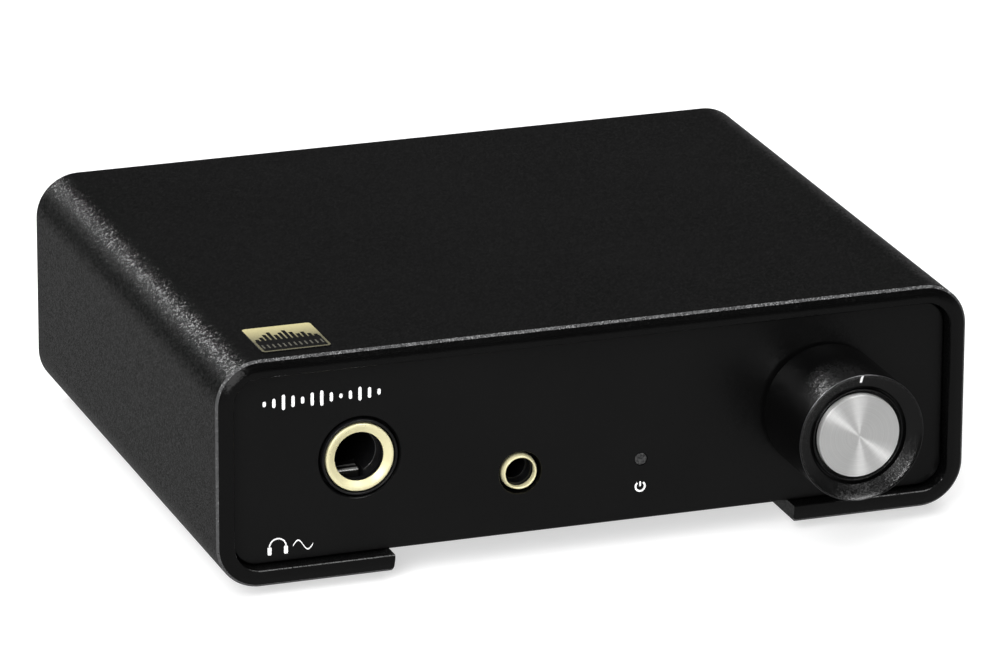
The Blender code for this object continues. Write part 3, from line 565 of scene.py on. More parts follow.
def build_sleeve():
    """Makes the sleeve and returns the places of its four screw bosses."""
    half_x, half_z = SLEEVE.size.x / 2, SLEEVE.size.z / 2
    inner_x, inner_z, inner_r = half_x - WALL, half_z - WALL, CORNER_R - WALL
    depth = SLEEVE.size.y

    def pocket(grow):
        return channel_outline(inner_x + grow, inner_z + grow, inner_r + grow, 0.0)

    flat = pocket(0.0)
    bossed = channel_outline(inner_x - POCKET_STEP, inner_z - POCKET_STEP, 0, 0.0, boss=True)
    for end in (0, -1):
        bossed[end] = flat[end]
    stations = []
    for (y, inset), inner_y in zip(EDGE_STEPS, MOUTH_STEPS):
        stations.append((y, inset, inner_y, [flat if inner_y else pocket(MOUTH_CHAMFER)]))
    rear = [(depth - y, inset, depth - inner_y, inners) for y, inset, inner_y, inners in reversed(stations)]
    stations.append((POCKET_DEPTH, 0.0, POCKET_DEPTH, [flat, bossed]))
    stations.append((depth - POCKET_DEPTH, 0.0, depth - POCKET_DEPTH, [bossed, flat]))
    edge_looks = [RIM_LOOK] * (len(EDGE_STEPS) - 2) + [CHAMFER_HIGHLIGHT_LOOK]
    looks = edge_looks + [BODY_LOOK] * 3 + edge_looks[::-1]

    bm = bmesh.new()
    made = []
    for y, inset, inner_y, inners in stations + rear:
        outline = channel_outline(half_x - inset, half_z - inset, CORNER_R - inset, LIP_CHAMFER)
        outside = [bm.verts.new((x, y, z)) for x, z in outline]
        insides = [[bm.verts.new((x, inner_y, z)) for x, z in inner] for inner in inners]
        for inside in insides[1:]:
            for end in (0, -1):
                bm.verts.remove(inside[end])
                inside[end] = insides[0][end]
            ribbon(bm, insides[0], inside)
        made.append((outside, insides))
    for look, (out0, in0), (out1, in1) in zip(looks, made, made[1:]):
        ribbon(bm, out0, out1, look)
        ribbon(bm, in0[-1], in1[0])
        for end in (0, -1):
            patch(bm, (out0[end], out1[end], in1[0][end], in0[-1][end]))
    for outside, insides in (made[0], made[-1]):
        ribbon(bm, outside, insides[0], RIM_LOOK)

    from_wall = POCKET_STEP + BOSS - BOSS_R
    boss_x, boss_z = inner_x - from_wall, inner_z - from_wall
    bosses = [(sx * boss_x, MID_Z + sz * boss_z) for sz in (1, -1) for sx in (-1, 1)]
    floor = REAR_FACE - PANEL_T - CORNER_SCREW_DEPTH
    holes = [(rod(SCREW_HOLE_R, floor, REAR_FACE), (x, 0, z)) for x, z in bosses]
    piece("sleeve_shell", bm, (0, 0, 0), (BLACK, CHAMFER_PAINTED_HIGHLIGHT, FACE), "sleeve", angle=18, cut=holes)
    return bosses


boss_places = build_sleeve()


# ---------------- panels and tray
TRAY = Box("base_tray")
BOARD_BOX = Box("main_board")
JACK_BIG = Box("jack_635_ring")
JACK_SMALL = Box("jack_35_ring")
LIGHT = Box("led_light_pipe")
KNOB = Box("volume_knob")
CAP_BOX = Box("knob_cap")
LUG_X = 24.0
LUG_W = 8.0
LUG_D = 6.0
LUG_LOW = 4.7
LUG_HIGH = BOARD_BOX.low.z - 0.3
JACK_BIG_HOLE_R = 6.05
JACK_SMALL_HOLE_R = 3.2
KNOB_HOLE_R = 4.9
GAIN_TRAVEL = 3.0
TRAY_T = 1.5
POST_R = 2.75
POST_X = (-45.5, 45.5)
POST_Y = (12.0, 80.0)


def panel_outline(inset):
    half_x = FRONT.size.x / 2 - inset
    half_z = FRONT.size.z / 2 - inset
    return rounded_rect(half_x, half_z, PANEL_CORNER_R - inset, 12, 0, MID_Z)


def hole(radius, x, z, segments=ROUND, share=1.0):
    """Contour of a round hole; its edge chamfer is this share of the plate's."""
    return lambda inset: circle(radius + inset * share, x, z, segments)


def slot_hole(half_x, half_z, radius, steps, at):
    """Contour of an oblong hole with rounded corners."""
    return lambda inset: rounded_rect(half_x + inset, half_z + inset, radius + inset, steps, at.x, at.z)


def lugs(y0, y1, hole_y):
    """The two tray lugs behind a panel, and their screw holes."""
    blocks, holes = [], []
    for x in (-LUG_X, LUG_X):
        blocks.append((block(-LUG_W / 2, LUG_W / 2, y0, y1, LUG_LOW, LUG_HIGH), (x, 0, 0)))
        holes.append((rod(SCREW_HOLE_R, LUG_LOW - 1, LUG_HIGH + 1, SMALL, "Z"), (x, hole_y, 0)))
    return blocks, holes


def build_front():
    chamfer = 0.22
    contours = [
        panel_outline,
        hole(JACK_BIG_HOLE_R, JACK_BIG.mid.x, JACK_BIG.mid.z, FINE),
        hole(JACK_SMALL_HOLE_R, JACK_SMALL.mid.x, JACK_SMALL.mid.z, MEDIUM, 0.5),
        hole(LIGHT.size.x / 2 + 0.03, LIGHT.mid.x, LIGHT.mid.z, COARSE, 0.2),
        hole(KNOB_HOLE_R, KNOB.mid.x, KNOB.mid.z),
    ]
    y0, y1 = PANEL_FACE, PANEL_FACE + PANEL_T
    levels = [(y0, chamfer), (y0 + chamfer, 0.0), (y1, 0.0)]
    blocks, holes = lugs(y1 - 0.5, y1 + LUG_D, y1 + LUG_D / 2)
    piece("front_plate", plate(contours, levels), (0, 0, 0), PANEL_BLACK, "front_panel", add=blocks,
          cut=holes)


def build_rear():
    chamfer = 0.15
    rca_gap, usb_gap = 0.4, 0.3
    usb, lever = Box("usb_c_shell"), Box("gain_switch_lever")
    contours = [panel_outline]
    for side in ("left", "right"):
        shell = Box(f"rca_shell_{side}")
        contours.append(hole(shell.size.x / 2 + rca_gap, shell.mid.x, shell.mid.z))
    contours += [hole(SCREW_HOLE_R, x, z, SMALL) for x, z in boss_places]
    usb_z = usb.size.z / 2 + usb_gap
    contours.append(slot_hole(usb.size.x / 2 + usb_gap, usb_z, usb_z - 0.01, 12, usb.mid))
    contours.append(slot_hole(3.4, 1.6, 0.5, 6, lever.mid + Vector((GAIN_TRAVEL / 2, 0, 0))))
    y0, y1 = REAR_FACE - PANEL_T, REAR_FACE
    levels = [(y0, 0.0), (y1 - chamfer, 0.0), (y1, chamfer)]
    blocks, holes = lugs(y0 - LUG_D, y0 + 0.5, y0 - LUG_D / 2)
    piece("rear_plate", plate(contours, levels), (0, 0, 0), PANEL_BLACK, "rear_panel", add=blocks,
          cut=holes)


def build_tray():
    chamfer, corner = 0.2, 1.0
    half_x, half_y = TRAY.size.x / 2, TRAY.size.y / 2
    rows = (PANEL_FACE + PANEL_T + LUG_D / 2, REAR_FACE - PANEL_T - LUG_D / 2)
    contours = [lambda inset: rounded_rect(half_x - inset, half_y - inset, corner - inset, 6, 0, TRAY.mid.y)]
    contours += [hole(SCREW_HOLE_R, x, y, SMALL) for y in rows for x in (-LUG_X, LUG_X)]
    low, high, top = TRAY.low.z, TRAY.low.z + TRAY_T, TRAY.high.z
    levels = [(low, chamfer), (low + chamfer, 0.0), (high, 0.0)]
    posts, holes = [], []
    for x in POST_X:
        for y in POST_Y:
            posts.append((rod(POST_R, high - 0.5, top, SMALL, "Z"), (x, y, 0)))
            holes.append((rod(SCREW_HOLE_R, high + 0.2, top + 1, SMALL, "Z"), (x, y, 0)))
    piece("tray_plate", plate(contours, levels, "Z"), (0, 0, 0), BLACK, "base_tray", add=posts, cut=holes)


build_front()
build_rear()
build_tray()


# ---------------- feet and screws
def build_foot(node):
    """Rubber foot with a fine moulding groove in its sole."""
    foot = Box(node)
    r, h = foot.size.x / 2, foot.size.z
    edge, bevel, groove = 0.4, 0.1, 0.2
    profile = [(0, 0), (2.5, 0), (2.6, groove), (2.9, groove), (3.0, 0)]
    profile += arc(r - edge, edge, edge, -90, 0)
    profile += [(r, h - bevel), (r - bevel, h), (0, h)]
    piece(f"rubber_{node}", turned(profile, ROUND, "Z"), (foot.mid.x, foot.mid.y, foot.low.z), RUBBER, node)


def build_screw(node, name, axis, direction, look):
    """Pan-head hexagon-socket screw in a CAD screw's place; the shank points along direction."""
    box = Box(node)
    index = 1 if axis == "Y" else 2
    length = box.size[index]
    across = box.size.x / 2
    head, round_r, round_h, bevel = 1.2, 0.65, 0.6, 0.1
    shank_r, tip = 1.0, 0.3
    socket_half, socket_depth = 1.0, 0.75
    profile = [(0, 0), (across - round_r, 0)]
    profile += arc(across - round_r, round_h, round_r, -90, 0, 6, round_h)
    profile += [(across, head - bevel), (across - bevel, head), (shank_r, head), (shank_r, length - tip),
                (shank_r - tip, length), (0, length)]
    profile = [(r, direction * along) for r, along in profile]
    at = box.mid.copy()
    at[index] = box.low[index] if direction > 0 else box.high[index]
    hexagon = circle(socket_half / math.cos(math.pi / 6), segments=6)
    recess = loft([(-direction, hexagon), (socket_depth * direction, hexagon)], axis)
    piece(name, turned(profile, SMALL, axis), at, look, node, cut=[(recess, at)])


for row in ("front", "rear"):
    for side in ("left", "right"):
        build_foot(f"foot_{row}_{side}")
for number in range(1, 5):
    build_screw(f"corner_screw_{number}", f"panel_screw_{number}", "Y", -1, SCREW)
    build_screw(f"tray_screw_{number}", f"base_screw_{number}", "Z", 1, SCREW)
    build_screw(f"board_screw_{number}", f"post_screw_{number}", "Z", -1, STEEL)


# ---------------- headphone sockets and status light
# Places in a socket are from its axis at the front plate's face, Y inwards.
def leaf(side, middle, touch, knee, foot):
    """Centre line of a leaf spring that bows towards the axis: touch is its distance from the axis there,
    knee and foot are (distance from the axis, distance from the middle)."""
    half = [(touch, 0.0), knee, foot]
    line = [(x, -y) for x, y in reversed(half)] + half[1:]
    return [(side * x, middle + y) for x, y in line]


def build_big_jack():
    at = (JACK_BIG.mid.x, PANEL_FACE, JACK_BIG.mid.z)
    body = Box("jack_635_housing")
    floor = body.low.z - at[2]
    half = body.size.x / 2
    outline = rounded_rect(half, (half - floor) / 2, 0.6, 4, 0, (half + floor) / 2)
    case = loft([(PANEL_T + 0.4, outline), (body.high.y - at[1], outline)])

    nose_r, recess_r, recess_floor = 5.72, 5.37, 2.0
    lip, lip_y = 0.17, -0.08
    nose = [(0, recess_floor), (recess_r, recess_floor), (recess_r, lip_y)]
    nose += arc(recess_r + lip, lip_y, lip, 180, 270, 4) + arc(nose_r - lip, lip_y, lip, 270, 360, 4)
    nose += [(nose_r, PANEL_T + 1), (0, PANEL_T + 1)]

    mouth_r, mouth_y, throat_y = 4.0, 1.0, 2.7
    bore_r, bore_end, edge = 3.27, 31.5, 0.07
    bore = [(0, -1), (recess_r, -1), (recess_r, mouth_y), (mouth_r, mouth_y), (mouth_r, throat_y),
            (bore_r + edge, throat_y)]
    # Steps of the throat's rounded edge, which get the painted highlight material.
    painted_throat_highlight = range(len(bore), len(bore) + 4)
    bore += arc(bore_r + edge, throat_y + edge, edge, 270, 180, 4)
    bore += [(bore_r, bore_end), (0, bore_end)]
    cuts = [
        (block(-2.75, 1.55, 2.6, 7.4, floor - 1, -1.5), at),    # sleeve contact's slot
        (block(-8.5, -1.5, 12.5, 20.5, -1.8, 1.8), at),    # ring contact's window
        (block(1.5, 8.5, 22.5, 30.5, -1.8, 1.8), at),    # tip contact's window
        (turned(bore, FINE, "Y", painted_throat_highlight), at),
    ]
    piece("big_jack_body", case, at, (MOULDED, MOULDED_PAINTED_HIGHLIGHT), "jack_635_housing",
          add=[(turned(nose, FINE), at)], cut=cuts)

    outer, bead, bead_y, back = 5.1, 0.22, -0.08, 0.7
    inner, inner_edge = 3.7, 0.1
    ring = [(outer, back), (outer, bead_y)] + arc(outer - bead, bead_y, bead, 0, -90)
    ring += [(4.7, -0.3), (4.55, -0.24), (4.3, -0.11), (3.78, 0.2)]
    ring += arc(inner + inner_edge, 0.3, inner_edge, 240, 180, 3)
    ring += [(inner, 0.42), (3.95, back)]
    piece("big_jack_ring", turned(ring, FINE), at, GOLD, "jack_635_ring", angle=40)

    path = [(4.1, -6.8), (4.2, -3.95), (4.5, -3.42), (5.3, -3.42), (5.65, -3.26), (6.1, -3.5), (6.9, -4.4)]
    piece("big_jack_sleeve_spring", strip(path, 0.35, -2.4, 1.2, "YZ"), at, SPRING,
          "jack_635_sleeve_contact")
    for contact, side, middle in (("ring", -1, 16.5), ("tip", 1, 26.5)):
        path = leaf(side, middle, 2.6, (5.0, 2.9), (7.0, 3.6))
        piece(f"big_jack_{contact}_spring", strip(path, 0.4, -1.4, 1.4, "XY"), at, NICKEL,
              f"jack_635_{contact}_contact")


def build_small_jack():
    at = (JACK_SMALL.mid.x, PANEL_FACE, JACK_SMALL.mid.z)
    body = Box("jack_35_housing")
    floor = body.low.z - at[2]
    half_x, top = 3.3, 3.0
    outline = rounded_rect(half_x, (top - floor) / 2, 0.4, 4, 0, (top + floor) / 2)
    case = loft([(PANEL_T + 0.4, outline), (body.high.y - at[1], outline)])

    nose_r, nose_y, nose_edge = 2.9, 1.6, 0.15
    nose = [(0, nose_y), (nose_r - nose_edge, nose_y)]
    nose += arc(nose_r - nose_edge, nose_y + nose_edge, nose_edge, -90, 0, 4)
    nose += [(nose_r, PANEL_T + 1), (0, PANEL_T + 1)]

    mouth_r, throat_y = 2.1, 3.3
    bore_r, bore_end, edge = 1.85, 15.0, 0.05
    bore = [(0, 1), (mouth_r, 1), (mouth_r, throat_y), (bore_r + edge, throat_y)]
    bore += arc(bore_r + edge, throat_y + edge, edge, 270, 180, 3)
    bore += [(bore_r, bore_end), (0, bore_end)]
    cuts = [
        (block(-4.3, -1.0, 5.0, 9.2, -1.1, 1.1), at),    # ring contact's window
        (block(1.0, 4.3, 9.8, 14.0, -1.1, 1.1), at),    # tip contact's window
        (turned(bore, MEDIUM), at),
    ]
    piece("small_jack_body", case, at, MOULDED, "jack_35_housing", add=[(turned(nose, MEDIUM), at)],
          cut=cuts)

    outer, back = 2.73, 1.3
    ring = [(outer, back), (outer, 0.85)] + arc(2.52, 0.7, 0.18, -5, -40, 4)
    ring += arc(2.38, 0.07, 0.14, -30, -180, 7)
    ring += [(2.24, 0.95), (2.4, back)]
    piece("small_jack_ring", turned(ring, MEDIUM), at, GOLD, "jack_35_ring", angle=40)

    for contact, side, middle in (("ring", -1, 7.1), ("tip", 1, 11.9)):
        path = leaf(side, middle, 1.5, (2.6, 1.3), (3.0, 1.7))
        piece(f"small_jack_{contact}_spring", strip(path, 0.25, -0.8, 0.8, "XY"), at, NICKEL,
              f"jack_35_{contact}_contact")


def build_light():
    """Light pipe with a faintly hollow, frosted face."""
    r, depth, edge, hollow = LIGHT.size.x / 2 - 0.02, LIGHT.size.y, 0.12, 0.03
    profile = [(0, 2 * hollow), (r * 0.6, hollow), (r - 0.15, 0.0)] + arc(r - edge, edge, edge, -90, 0, 4)
    profile += [(r, depth), (0, depth)]
    at = (LIGHT.mid.x, LIGHT.low.y, LIGHT.mid.z)
    piece("light_pipe", turned(profile, COARSE), at, LENS, "led_light_pipe")


build_big_jack()
build_small_jack()
build_light()


# ---------------- volume knob
# Places are from the middle of the knob's rim, Y inwards.
DISH_R = 7.4
DISH_DEPTH = 1.2
DISH_CONE = 0.8    # share of the depth that a straight cone takes; the rest curls up at the rim
DISH_CURL = 10
RIM_EDGE = 0.1
RIM_R = KNOB.size.x / 2 - RIM_EDGE
SEAT_DEPTH = 2.3
SHAFT_DEPTH = 4.7
POINTER_FROM = 8.25


def dish(radius):
    """Depth of the knob's hollow ring below its rim."""
    share = min(max((radius - DISH_R) / (RIM_R - DISH_R), 0.0), 1.0)
    return DISH_DEPTH * (1 - DISH_CONE * share - (1 - DISH_CONE) * share ** DISH_CURL)


def build_barrel(at):
    r, length = KNOB.size.x / 2, KNOB.size.y
    seat_r, step_r, rear_bevel = 6.6, 7.32, 0.35
    profile = [(0, SHAFT_DEPTH), (0, SEAT_DEPTH), (seat_r, SEAT_DEPTH), (seat_r, 1.75)]
    profile += arc(6.9, 1.5, 0.14, 180, 360, 8)
    profile += [(7.1, 1.9), (step_r, 1.9), (step_r, 1.0)]
    steps = 14
    for step in range(steps + 1):
        radius = DISH_R + (RIM_R - DISH_R) * math.sin(math.pi / 2 * step / steps)
        profile.append((radius, dish(radius)))
    fillet = range(len(profile), len(profile) + 3)
    profile += arc(RIM_R, RIM_EDGE, RIM_EDGE, -60, 0, 3)
    profile += [(r, length - rear_bevel)]
    profile += arc(r - rear_bevel, length - rear_bevel, rear_bevel, 0, 90, 5)
    profile += [(7.5, length), (7.5, 10.5), (3.3, 10.5), (3.3, SHAFT_DEPTH)]
    piece("knob_barrel", turned(profile, FINEST, "Y", fillet), at, (KNOB_BLACK, RIM_CUT), "volume_knob",
          "volume_control", angle=30)


def build_cap(at):
    """Spun disc with a lathe's centre mark."""
    cap_r = CAP_BOX.size.x / 2
    front, rear = CAP_BOX.low.y - KNOB.low.y, CAP_BOX.high.y - KNOB.low.y
    edge, mark = 0.14, 0.05
    profile = [(0, rear), (cap_r, rear), (cap_r, front + edge)]
    profile += arc(cap_r - edge, front + edge, edge, 0, -90, 5)
    profile += [(0.25, front), (0.12, front + mark), (0, front + mark)]
    piece("knob_face", turned(profile, FINEST), at, CAP, "knob_cap", "volume_control")


def build_pointer(at):
    """Printed line that follows the hollow ring from POINTER_FROM to the rim."""
    half, lift, sunk, steps = 0.18, 0.02, 0.05, 12
    sections = []
    for step in range(steps + 1):
        radius = POINTER_FROM + (RIM_R - POINTER_FROM) * step / steps
        front, back = max(dish(radius) - lift, 0.0), max(dish(radius) + sunk, 0.0)
        sections.append((radius, [(-half, front), (half, front), (half, back), (-half, back)]))
    piece("knob_pointer", loft(sections, "Z"), at, INK, body="volume_control")


knob_place = (KNOB.mid.x, KNOB.low.y, KNOB.mid.z)
build_barrel(knob_place)
build_cap(knob_place)
build_pointer(knob_place)


# ---------------- rear connectors
# Places are from a connector's axis at the rear plate's face, Y outwards.
def build_rca(side, look):
    shell, core, pin = (Box(f"rca_{kind}_{side}") for kind in ("shell", "insulator", "contact"))
    at = (shell.mid.x, REAR_FACE, shell.mid.z)
    r, inner, edge, groove = shell.size.x / 2, 3.6, 0.22, 0.12
    reach, back = shell.high.y - REAR_FACE, shell.low.y - REAR_FACE
    profile = [(inner, back), (r, back), (r, 0.6), (r - groove, 0.75), (r - groove, 1.0), (r, 1.15),
               (r, reach - edge)]
    profile += arc(r - edge, reach - edge, edge, 0, 90, 4)
    profile += [(inner + 0.15, reach), (inner, reach - 0.15)]
    piece(f"line_out_shell_{side}", turned(profile, MEDIUM), at, NICKEL, f"rca_shell_{side}")

    end, core_r, core_edge, mouth_edge = core.high.y - REAR_FACE, 3.3, 0.2, 0.3
    profile = [(2.2, back), (core_r, back), (core_r, end - core_edge)]
    profile += arc(core_r - core_edge, end - core_edge, core_edge, 0, 90, 3)
    profile += [(2.05, end)] + arc(2.05, end - mouth_edge, mouth_edge, 90, 180, 4)
    profile += [(1.75, end - 1.0), (2.2, end - 1.0)]
    piece(f"line_out_insulator_{side}", turned(profile, ROUND), at, look, f"rca_insulator_{side}")

    top, low, pin_in, pin_out = pin.high.y - REAR_FACE, pin.low.y - REAR_FACE, 1.6, 1.9
    profile = [(pin_in, low), (pin_out, low), (pin_out, top - 0.15), (1.75, top), (pin_in, top - 0.15)]
    slit, far, slit_from, slit_to = 0.2, 3, top - 4, top + 1
    slits = [(block(-slit, slit, slit_from, slit_to, -far, far), at),
             (block(-far, far, slit_from, slit_to, -slit, slit), at)]
    piece(f"line_out_contact_{side}", turned(profile, COARSE), at, NICKEL, f"rca_contact_{side}", cut=slits)


def build_usb():
    shell, tongue = Box("usb_c_shell"), Box("usb_c_tongue")
    at = (shell.mid.x, REAR_FACE, shell.mid.z)
    half_x, half_z = shell.size.x / 2, shell.size.z / 2
    front, back, wall = shell.high.y - REAR_FACE, shell.low.y - REAR_FACE, 0.3
    bm = bmesh.new()
    rings = []
    for y, inset in ((back, 0), (front - 0.1, 0), (front, 0.08), (front, 0.24), (front - 0.12, wall),
                     (back, wall)):
        outline = rounded_rect(half_x - inset, half_z - inset, half_z - inset - 0.01, 12)
        rings.append([bm.verts.new((x, y, z)) for x, z in outline])
    for ring, following in zip(rings, rings[1:] + rings[:1]):
        bridge(bm, ring, following)
    piece("usb_inlet_shell", bm, at, STEEL, "usb_c_shell")

    tip, bevel = tongue.high.y - REAR_FACE, 0.15
    blade_x, blade_z = 3.35, 0.35
    base = rounded_rect(3.8, 1.0, 0.9, 6)
    full = rounded_rect(blade_x, blade_z, 0.1, 3)
    point = rounded_rect(blade_x - bevel, blade_z - bevel, 0.08, 3)
    blade = [(-7.0, full), (tip - bevel, full), (tip, point)]
    piece("usb_inlet_tongue", loft([(tongue.low.y - REAR_FACE, base), (-6.4, base)]), at, MOULDED,
          "usb_c_tongue", add=[(loft(blade), at)])
    contacts, pitch, half = 12, 0.5, 0.12
    for side, row in ((-1, "low"), (1, "high")):
        for pin in range(contacts):
            x = (pin - (contacts - 1) / 2) * pitch
            contact = block(x - half, x + half, -6.2, tip - 0.5, side * 0.33, side * 0.37)
            piece(f"usb_contact_{row}_{pin + 1}", contact, at, GOLD)


def build_lever():
    """Switch lever with four grip ribs."""
    lever = Box("gain_switch_lever")
    half_x, half_z, length = lever.size.x / 2, lever.size.z / 2, lever.size.y
    ribs, rib_height, bevel, narrow = 4, 0.35, 0.12, 0.94
    pitch = 2 * half_x / ribs
    outline = [(-half_x, 0), (half_x, 0)]
    for rib in range(ribs):
        right = half_x - rib * pitch
        outline += [(right, length - rib_height), (right - pitch * 0.2, length),
                    (right - pitch * 0.6, length), (right - pitch * 0.8, length - rib_height)]
    outline.append((-half_x, length - rib_height))
    small = [(x * narrow, y) for x, y in outline]
    flat = half_z - bevel
    bm = loft([(-half_z, small), (-flat, outline), (flat, outline), (half_z, small)], "Z")
    piece("gain_lever", bm, (lever.mid.x, lever.low.y, lever.mid.z), MOULDED, "gain_switch_lever",
          "gain_slider", angle=25)


build_rca("left", WHITE)
build_rca("right", RED)
build_usb()
build_lever()


# ---------------- prints and label
INK_T = 0.02


def flat_print(name, shapes, at, look, normal="Y", thickness=INK_T):
    """Thin printed shapes: each is a closed outline across the face that normal ("Y" or "Z") names."""
    bm = bmesh.new()
    top = -thickness if normal == "Y" else thickness
    for outline in shapes:
        loft([(0.0, outline), (top, outline)], normal, bm)
    piece(name, bm, at, look)


def bar(x, middle, height, half):
    """A bar with round ends."""
    top, low = middle + height / 2 - half, middle - height / 2 + half
    return arc(x, top, half, 0, 180, 8) + arc(x, low, half, 180, 360, 8)


def band(cx, cz, inner, outer, start, end, steps=32):
    """Part of a ring, as one closed outline."""
    return arc(cx, cz, outer, start, end, steps) + arc(cx, cz, inner, end, start, steps)


def print_level_bars():
    shares = (0.35, 0.6, 1.0, 0.75, 0.45, 0.85, 1.0, 0.6, 0.3, 0.55, 0.9, 0.7, 0.4)
    left, right, middle, tallest, half = -49.8, -32.6, 27.05, 2.3, 0.24
    pitch = (right - left) / (len(shares) - 1)
    bars = [bar(left + i * pitch, middle, tallest * share, half) for i, share in enumerate(shares)]
    flat_print("print_level_bars", bars, (0, PANEL_FACE, 0), INK)


def print_headphones():
    """Headphones beside one period of a wave."""
    cx, cz, r = -47.9, 5.2, 1.35
    shapes = [band(cx, cz, r - 0.2, r, 0, 180)]
    for side in (-1, 1):
        shapes.append(rounded_rect(0.3, 0.62, 0.2, 4, cx + side * (r - 0.12), cz - 0.55))
    left, length, height, half, steps = -45.6, 3.0, 0.75, 0.11, 40
    wave = []
    for step in range(steps + 1):
        t = step / steps
        wave.append((left + length * t, cz - 0.1 + height * math.sin(2 * math.pi * t)))
    shapes.append([(x, z + half) for x, z in wave] + [(x, z - half) for x, z in reversed(wave)])
    flat_print("print_headphones", shapes, (0, PANEL_FACE, 0), INK)


def print_power():
    cx, cz, r = LIGHT.mid.x - 0.1, 7.84, 0.85
    shapes = [band(cx, cz, r - 0.28, r, 128, 412, 40), rounded_rect(0.12, 0.38, 0.06, 3, cx, cz + r - 0.46)]
    flat_print("print_power", shapes, (0, PANEL_FACE, 0), INK)


def build_label():
    """Thin foil label on the sleeve's top: gold over a dark field that rises in level bars."""
    label = Box("top_label")
    half, corner, bevel = label.size.x / 2, 0.6, 0.02
    low, top = SLEEVE.high.z + 0.02, SLEEVE.high.z + 0.12
    x, y, thick = label.mid.x, label.mid.y, top - low
    full = rounded_rect(half, half, corner, 6)
    sections = [(0, full), (thick - bevel, full),
                (thick, rounded_rect(half - bevel, half - bevel, corner - bevel, 6))]
    piece("label_plate", loft(sections, "Z"), (x, y, low), FOIL_INK, "top_label")
    sheet = half - 0.06
    ink_t, tick_t = 0.006, 0.005
    flat_print("label_gold_field", [rounded_rect(sheet, sheet, 0.55, 6)], (x, y, top), FOIL, "Z", ink_t)

    shares = (0.2, 0.42, 0.7, 0.94, 0.56, 0.78, 1.0, 0.72, 0.46, 0.6, 0.34, 0.18)
    border, split = 0.42, 0.5
    left = -half + border
    rise = half - split - 1.2
    pitch = -2 * left / len(shares)
    gap = pitch * 0.3
    outline = [(left, left), (-left, left)]
    for i in reversed(range(len(shares))):
        right = left + (i + 1) * pitch
        crest = -split + rise * shares[i]
        outline += [(right, -split), (right - gap / 2, -split), (right - gap / 2, crest),
                    (right - pitch + gap / 2, crest), (right - pitch + gap / 2, -split)]
    outline.append((left, -split))
    ticks = [rounded_rect(0.13, 0.75, 0.1, 3, left + pitch * (i + 0.5), -3.0) for i in range(len(shares))]
    flat_print("label_field", [outline], (x, y, top + ink_t), FOIL_INK, "Z", ink_t)
    flat_print("label_ticks", ticks, (x, y, top + 2 * ink_t), FOIL_TICK, "Z", tick_t)


print_level_bars()
print_headphones()
print_power()
build_label()


# ---------------- pieces that stay as the CAD made them
KEPT = {
    BOARD: ("main_board",),
    EPOXY: ("dac_chip", "usb_controller_chip", "headphone_amp_chip", "power_inductor"),
    NICKEL: ("clock_crystal",),
    WHITE: ("status_led",),
    GREY: ("volume_pot_body",),
    STEEL: ("volume_pot_bush", "volume_pot_nut", "volume_shaft", "gain_switch_body"),
    MOULDED: ("volume_wiper", "rca_housing", "capacitor_1", "capacitor_2", "capacitor_3", "capacitor_4"),
}
for look, kept_nodes in KEPT.items():
    for node in kept_nodes:
        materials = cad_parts[node].data.materials
        materials.clear()
        materials.append(look)


# ---------------- floor, light and camera
TABLE_GREY = 0.175    # what glossy surfaces see below the horizon
ROOM_GREY = 0.042    # and above it
HORIZON_FADE = (-0.22, 0.10)  # heights of the view direction between which one goes over into the other
HORIZON_LEAN = 0.16    # the pale part reaches higher on the right
LIGHTS_AIM = (0, 0, 0.02)

CAMERA_TARGET = ORIGIN + Vector((-15.03, 0, 34.5))
CAMERA_DISTANCE = 1062.4
CAMERA_LENS = 267.65


def build_floor():
    look = Look("floor", Specular_IOR_Level=0.1, Emission_Color=(1.0, 1.0, 1.0), Emission_Strength=0.6)
    look.put("Base Color", look.blend(look.noise(3.0), (0.50, 0.50, 0.50), (0.52, 0.52, 0.52)))
    look.put("Roughness", look.spread(look.noise(60.0), 0.75, 0.85))
    mesh = bpy.data.meshes.new("floor")
    half = 6.0
    z = -0.05 * MM    # just clear of the feet
    mesh.from_pydata([(-half, -half, z), (half, -half, z), (half, half, z), (-half, half, z)], [],
                     [(0, 1, 2, 3)])
    mesh.materials.append(look.material)
    floor = bpy.data.objects.new("floor", mesh)
    bpy.context.scene.collection.objects.link(floor)
    floor.visible_glossy = False


def toward(azimuth, elevation):
    """Direction from the object; azimuth 0 is straight behind it, positive to the right."""
    a, e = math.radians(azimuth), math.radians(elevation)
    return math.sin(a) * math.cos(e), math.cos(a) * math.cos(e), math.sin(e)


def add_lamp(name, kind, energy):
    data = bpy.data.lights.new(name, kind)
    data.energy = energy
    lamp = bpy.data.objects.new(name, data)
    bpy.context.scene.collection.objects.link(lamp)
    return lamp


def softbox(name, direction, distance, width, height, strength, glossy=True, diffuse=True):
    """Rectangular area light at a distance from LIGHTS_AIM, along a direction."""
    lamp = add_lamp(name, "AREA", strength * width * height)
    lamp.data.shape = "RECTANGLE"
    lamp.data.size = width
    lamp.data.size_y = height
    way = Vector(direction).normalized()
    lamp.location = Vector(LIGHTS_AIM) + way * distance
    lamp.rotation_euler = way.to_track_quat("Z", "Y").to_euler()
    lamp.visible_camera = False
    lamp.visible_glossy = glossy
    lamp.visible_diffuse = diffuse


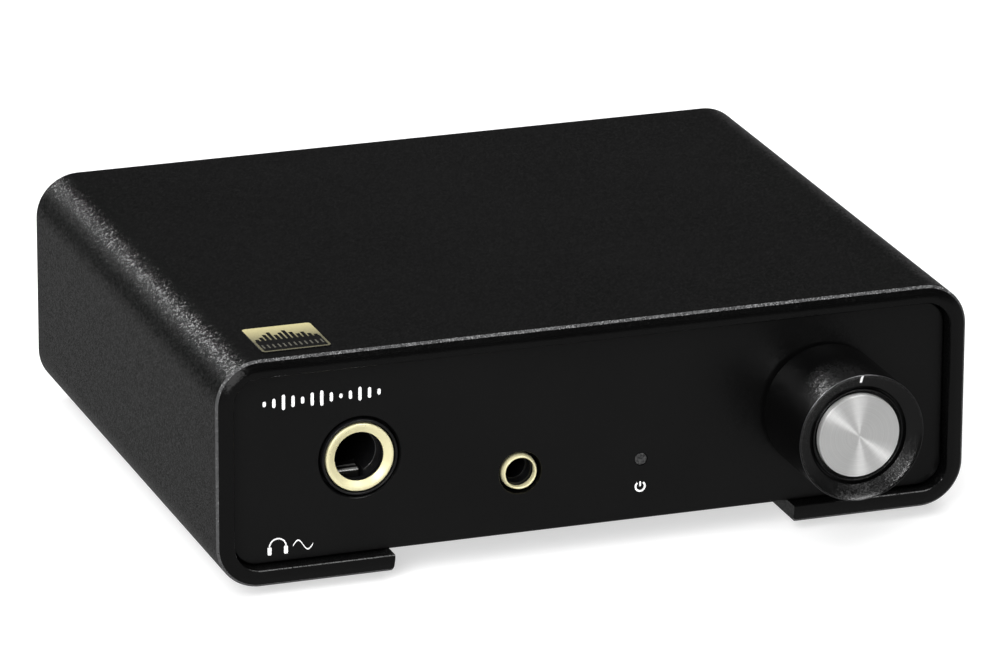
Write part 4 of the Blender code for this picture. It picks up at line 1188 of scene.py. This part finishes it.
def build_lights():
    fill = add_lamp("overhead_fill", "SUN", 3.4)
    fill.data.angle = math.radians(70)
    fill.rotation_euler = (math.radians(8), math.radians(-6), 0)
    fill.visible_glossy = False
    softbox("rim_low", toward(-19, 17), 1.8, 0.9, 0.62, 1.2)
    softbox("rim_high", toward(-35, 42), 1.8, 0.75, 0.7, 46.0, diffuse=False)
    softbox("top_box", (0.33, -0.34, 0.88), 1.4, 0.8, 0.5, 17.0, diffuse=False)
    softbox("dish_box", (0.33, -0.66, 0.62), 1.4, 0.6, 0.6, 5.5, diffuse=False)
    softbox("key_box", (-0.55, -0.68, 0.48), 1.6, 0.9, 0.9, 38.0, glossy=False)
    softbox("front_box", (-0.2, -0.97, 0.16), 1.6, 0.5, 0.5, 4.0)
    softbox("streak_box", (-0.45, -0.80, 0.38), 1.6, 0.26, 0.26, 66.0, diffuse=False)


def build_world():
    """Grey room that is paler below a soft, leaning horizon."""
    world = bpy.data.worlds.new("studio")
    world.use_nodes = True
    graph = Graph(world.node_tree)
    view = graph.node("ShaderNodeTexCoord").outputs["Generated"]
    split = graph.split(view)
    height = graph.maths("MULTIPLY_ADD", split["X"], -HORIZON_LEAN, split["Z"])
    horizon = graph.map_range(height, *HORIZON_FADE, TABLE_GREY, ROOM_GREY)
    horizon.interpolation_type = "SMOOTHSTEP"
    graph.feed(world.node_tree.nodes["Background"].inputs["Color"], horizon.outputs["Result"])
    bpy.context.scene.world = world
    bpy.context.scene.view_settings.view_transform = "Standard"


def build_camera():
    azimuth, elevation, roll = math.radians(-19.5816), math.radians(19.1769), 0.0049
    back = Vector((math.sin(azimuth) * math.cos(elevation), -math.cos(azimuth) * math.cos(elevation),
                   math.sin(elevation)))
    right = Vector((math.cos(azimuth), math.sin(azimuth), 0))
    up = back.cross(right)
    rolled_right = math.cos(roll) * right + math.sin(roll) * up
    rolled_up = math.cos(roll) * up - math.sin(roll) * right
    data = bpy.data.cameras.new("camera")
    data.lens = CAMERA_LENS
    data.sensor_width = 36.0
    data.clip_start = 0.01
    data.clip_end = 50.0
    camera = bpy.data.objects.new("camera", data)
    bpy.context.scene.collection.objects.link(camera)
    rotation = Matrix((rolled_right, rolled_up, back)).transposed().to_4x4()
    camera.matrix_world = Matrix.Translation((CAMERA_TARGET + back * CAMERA_DISTANCE) * MM) @ rotation
    bpy.context.scene.camera = camera


build_floor()
build_lights()
build_world()
build_camera()
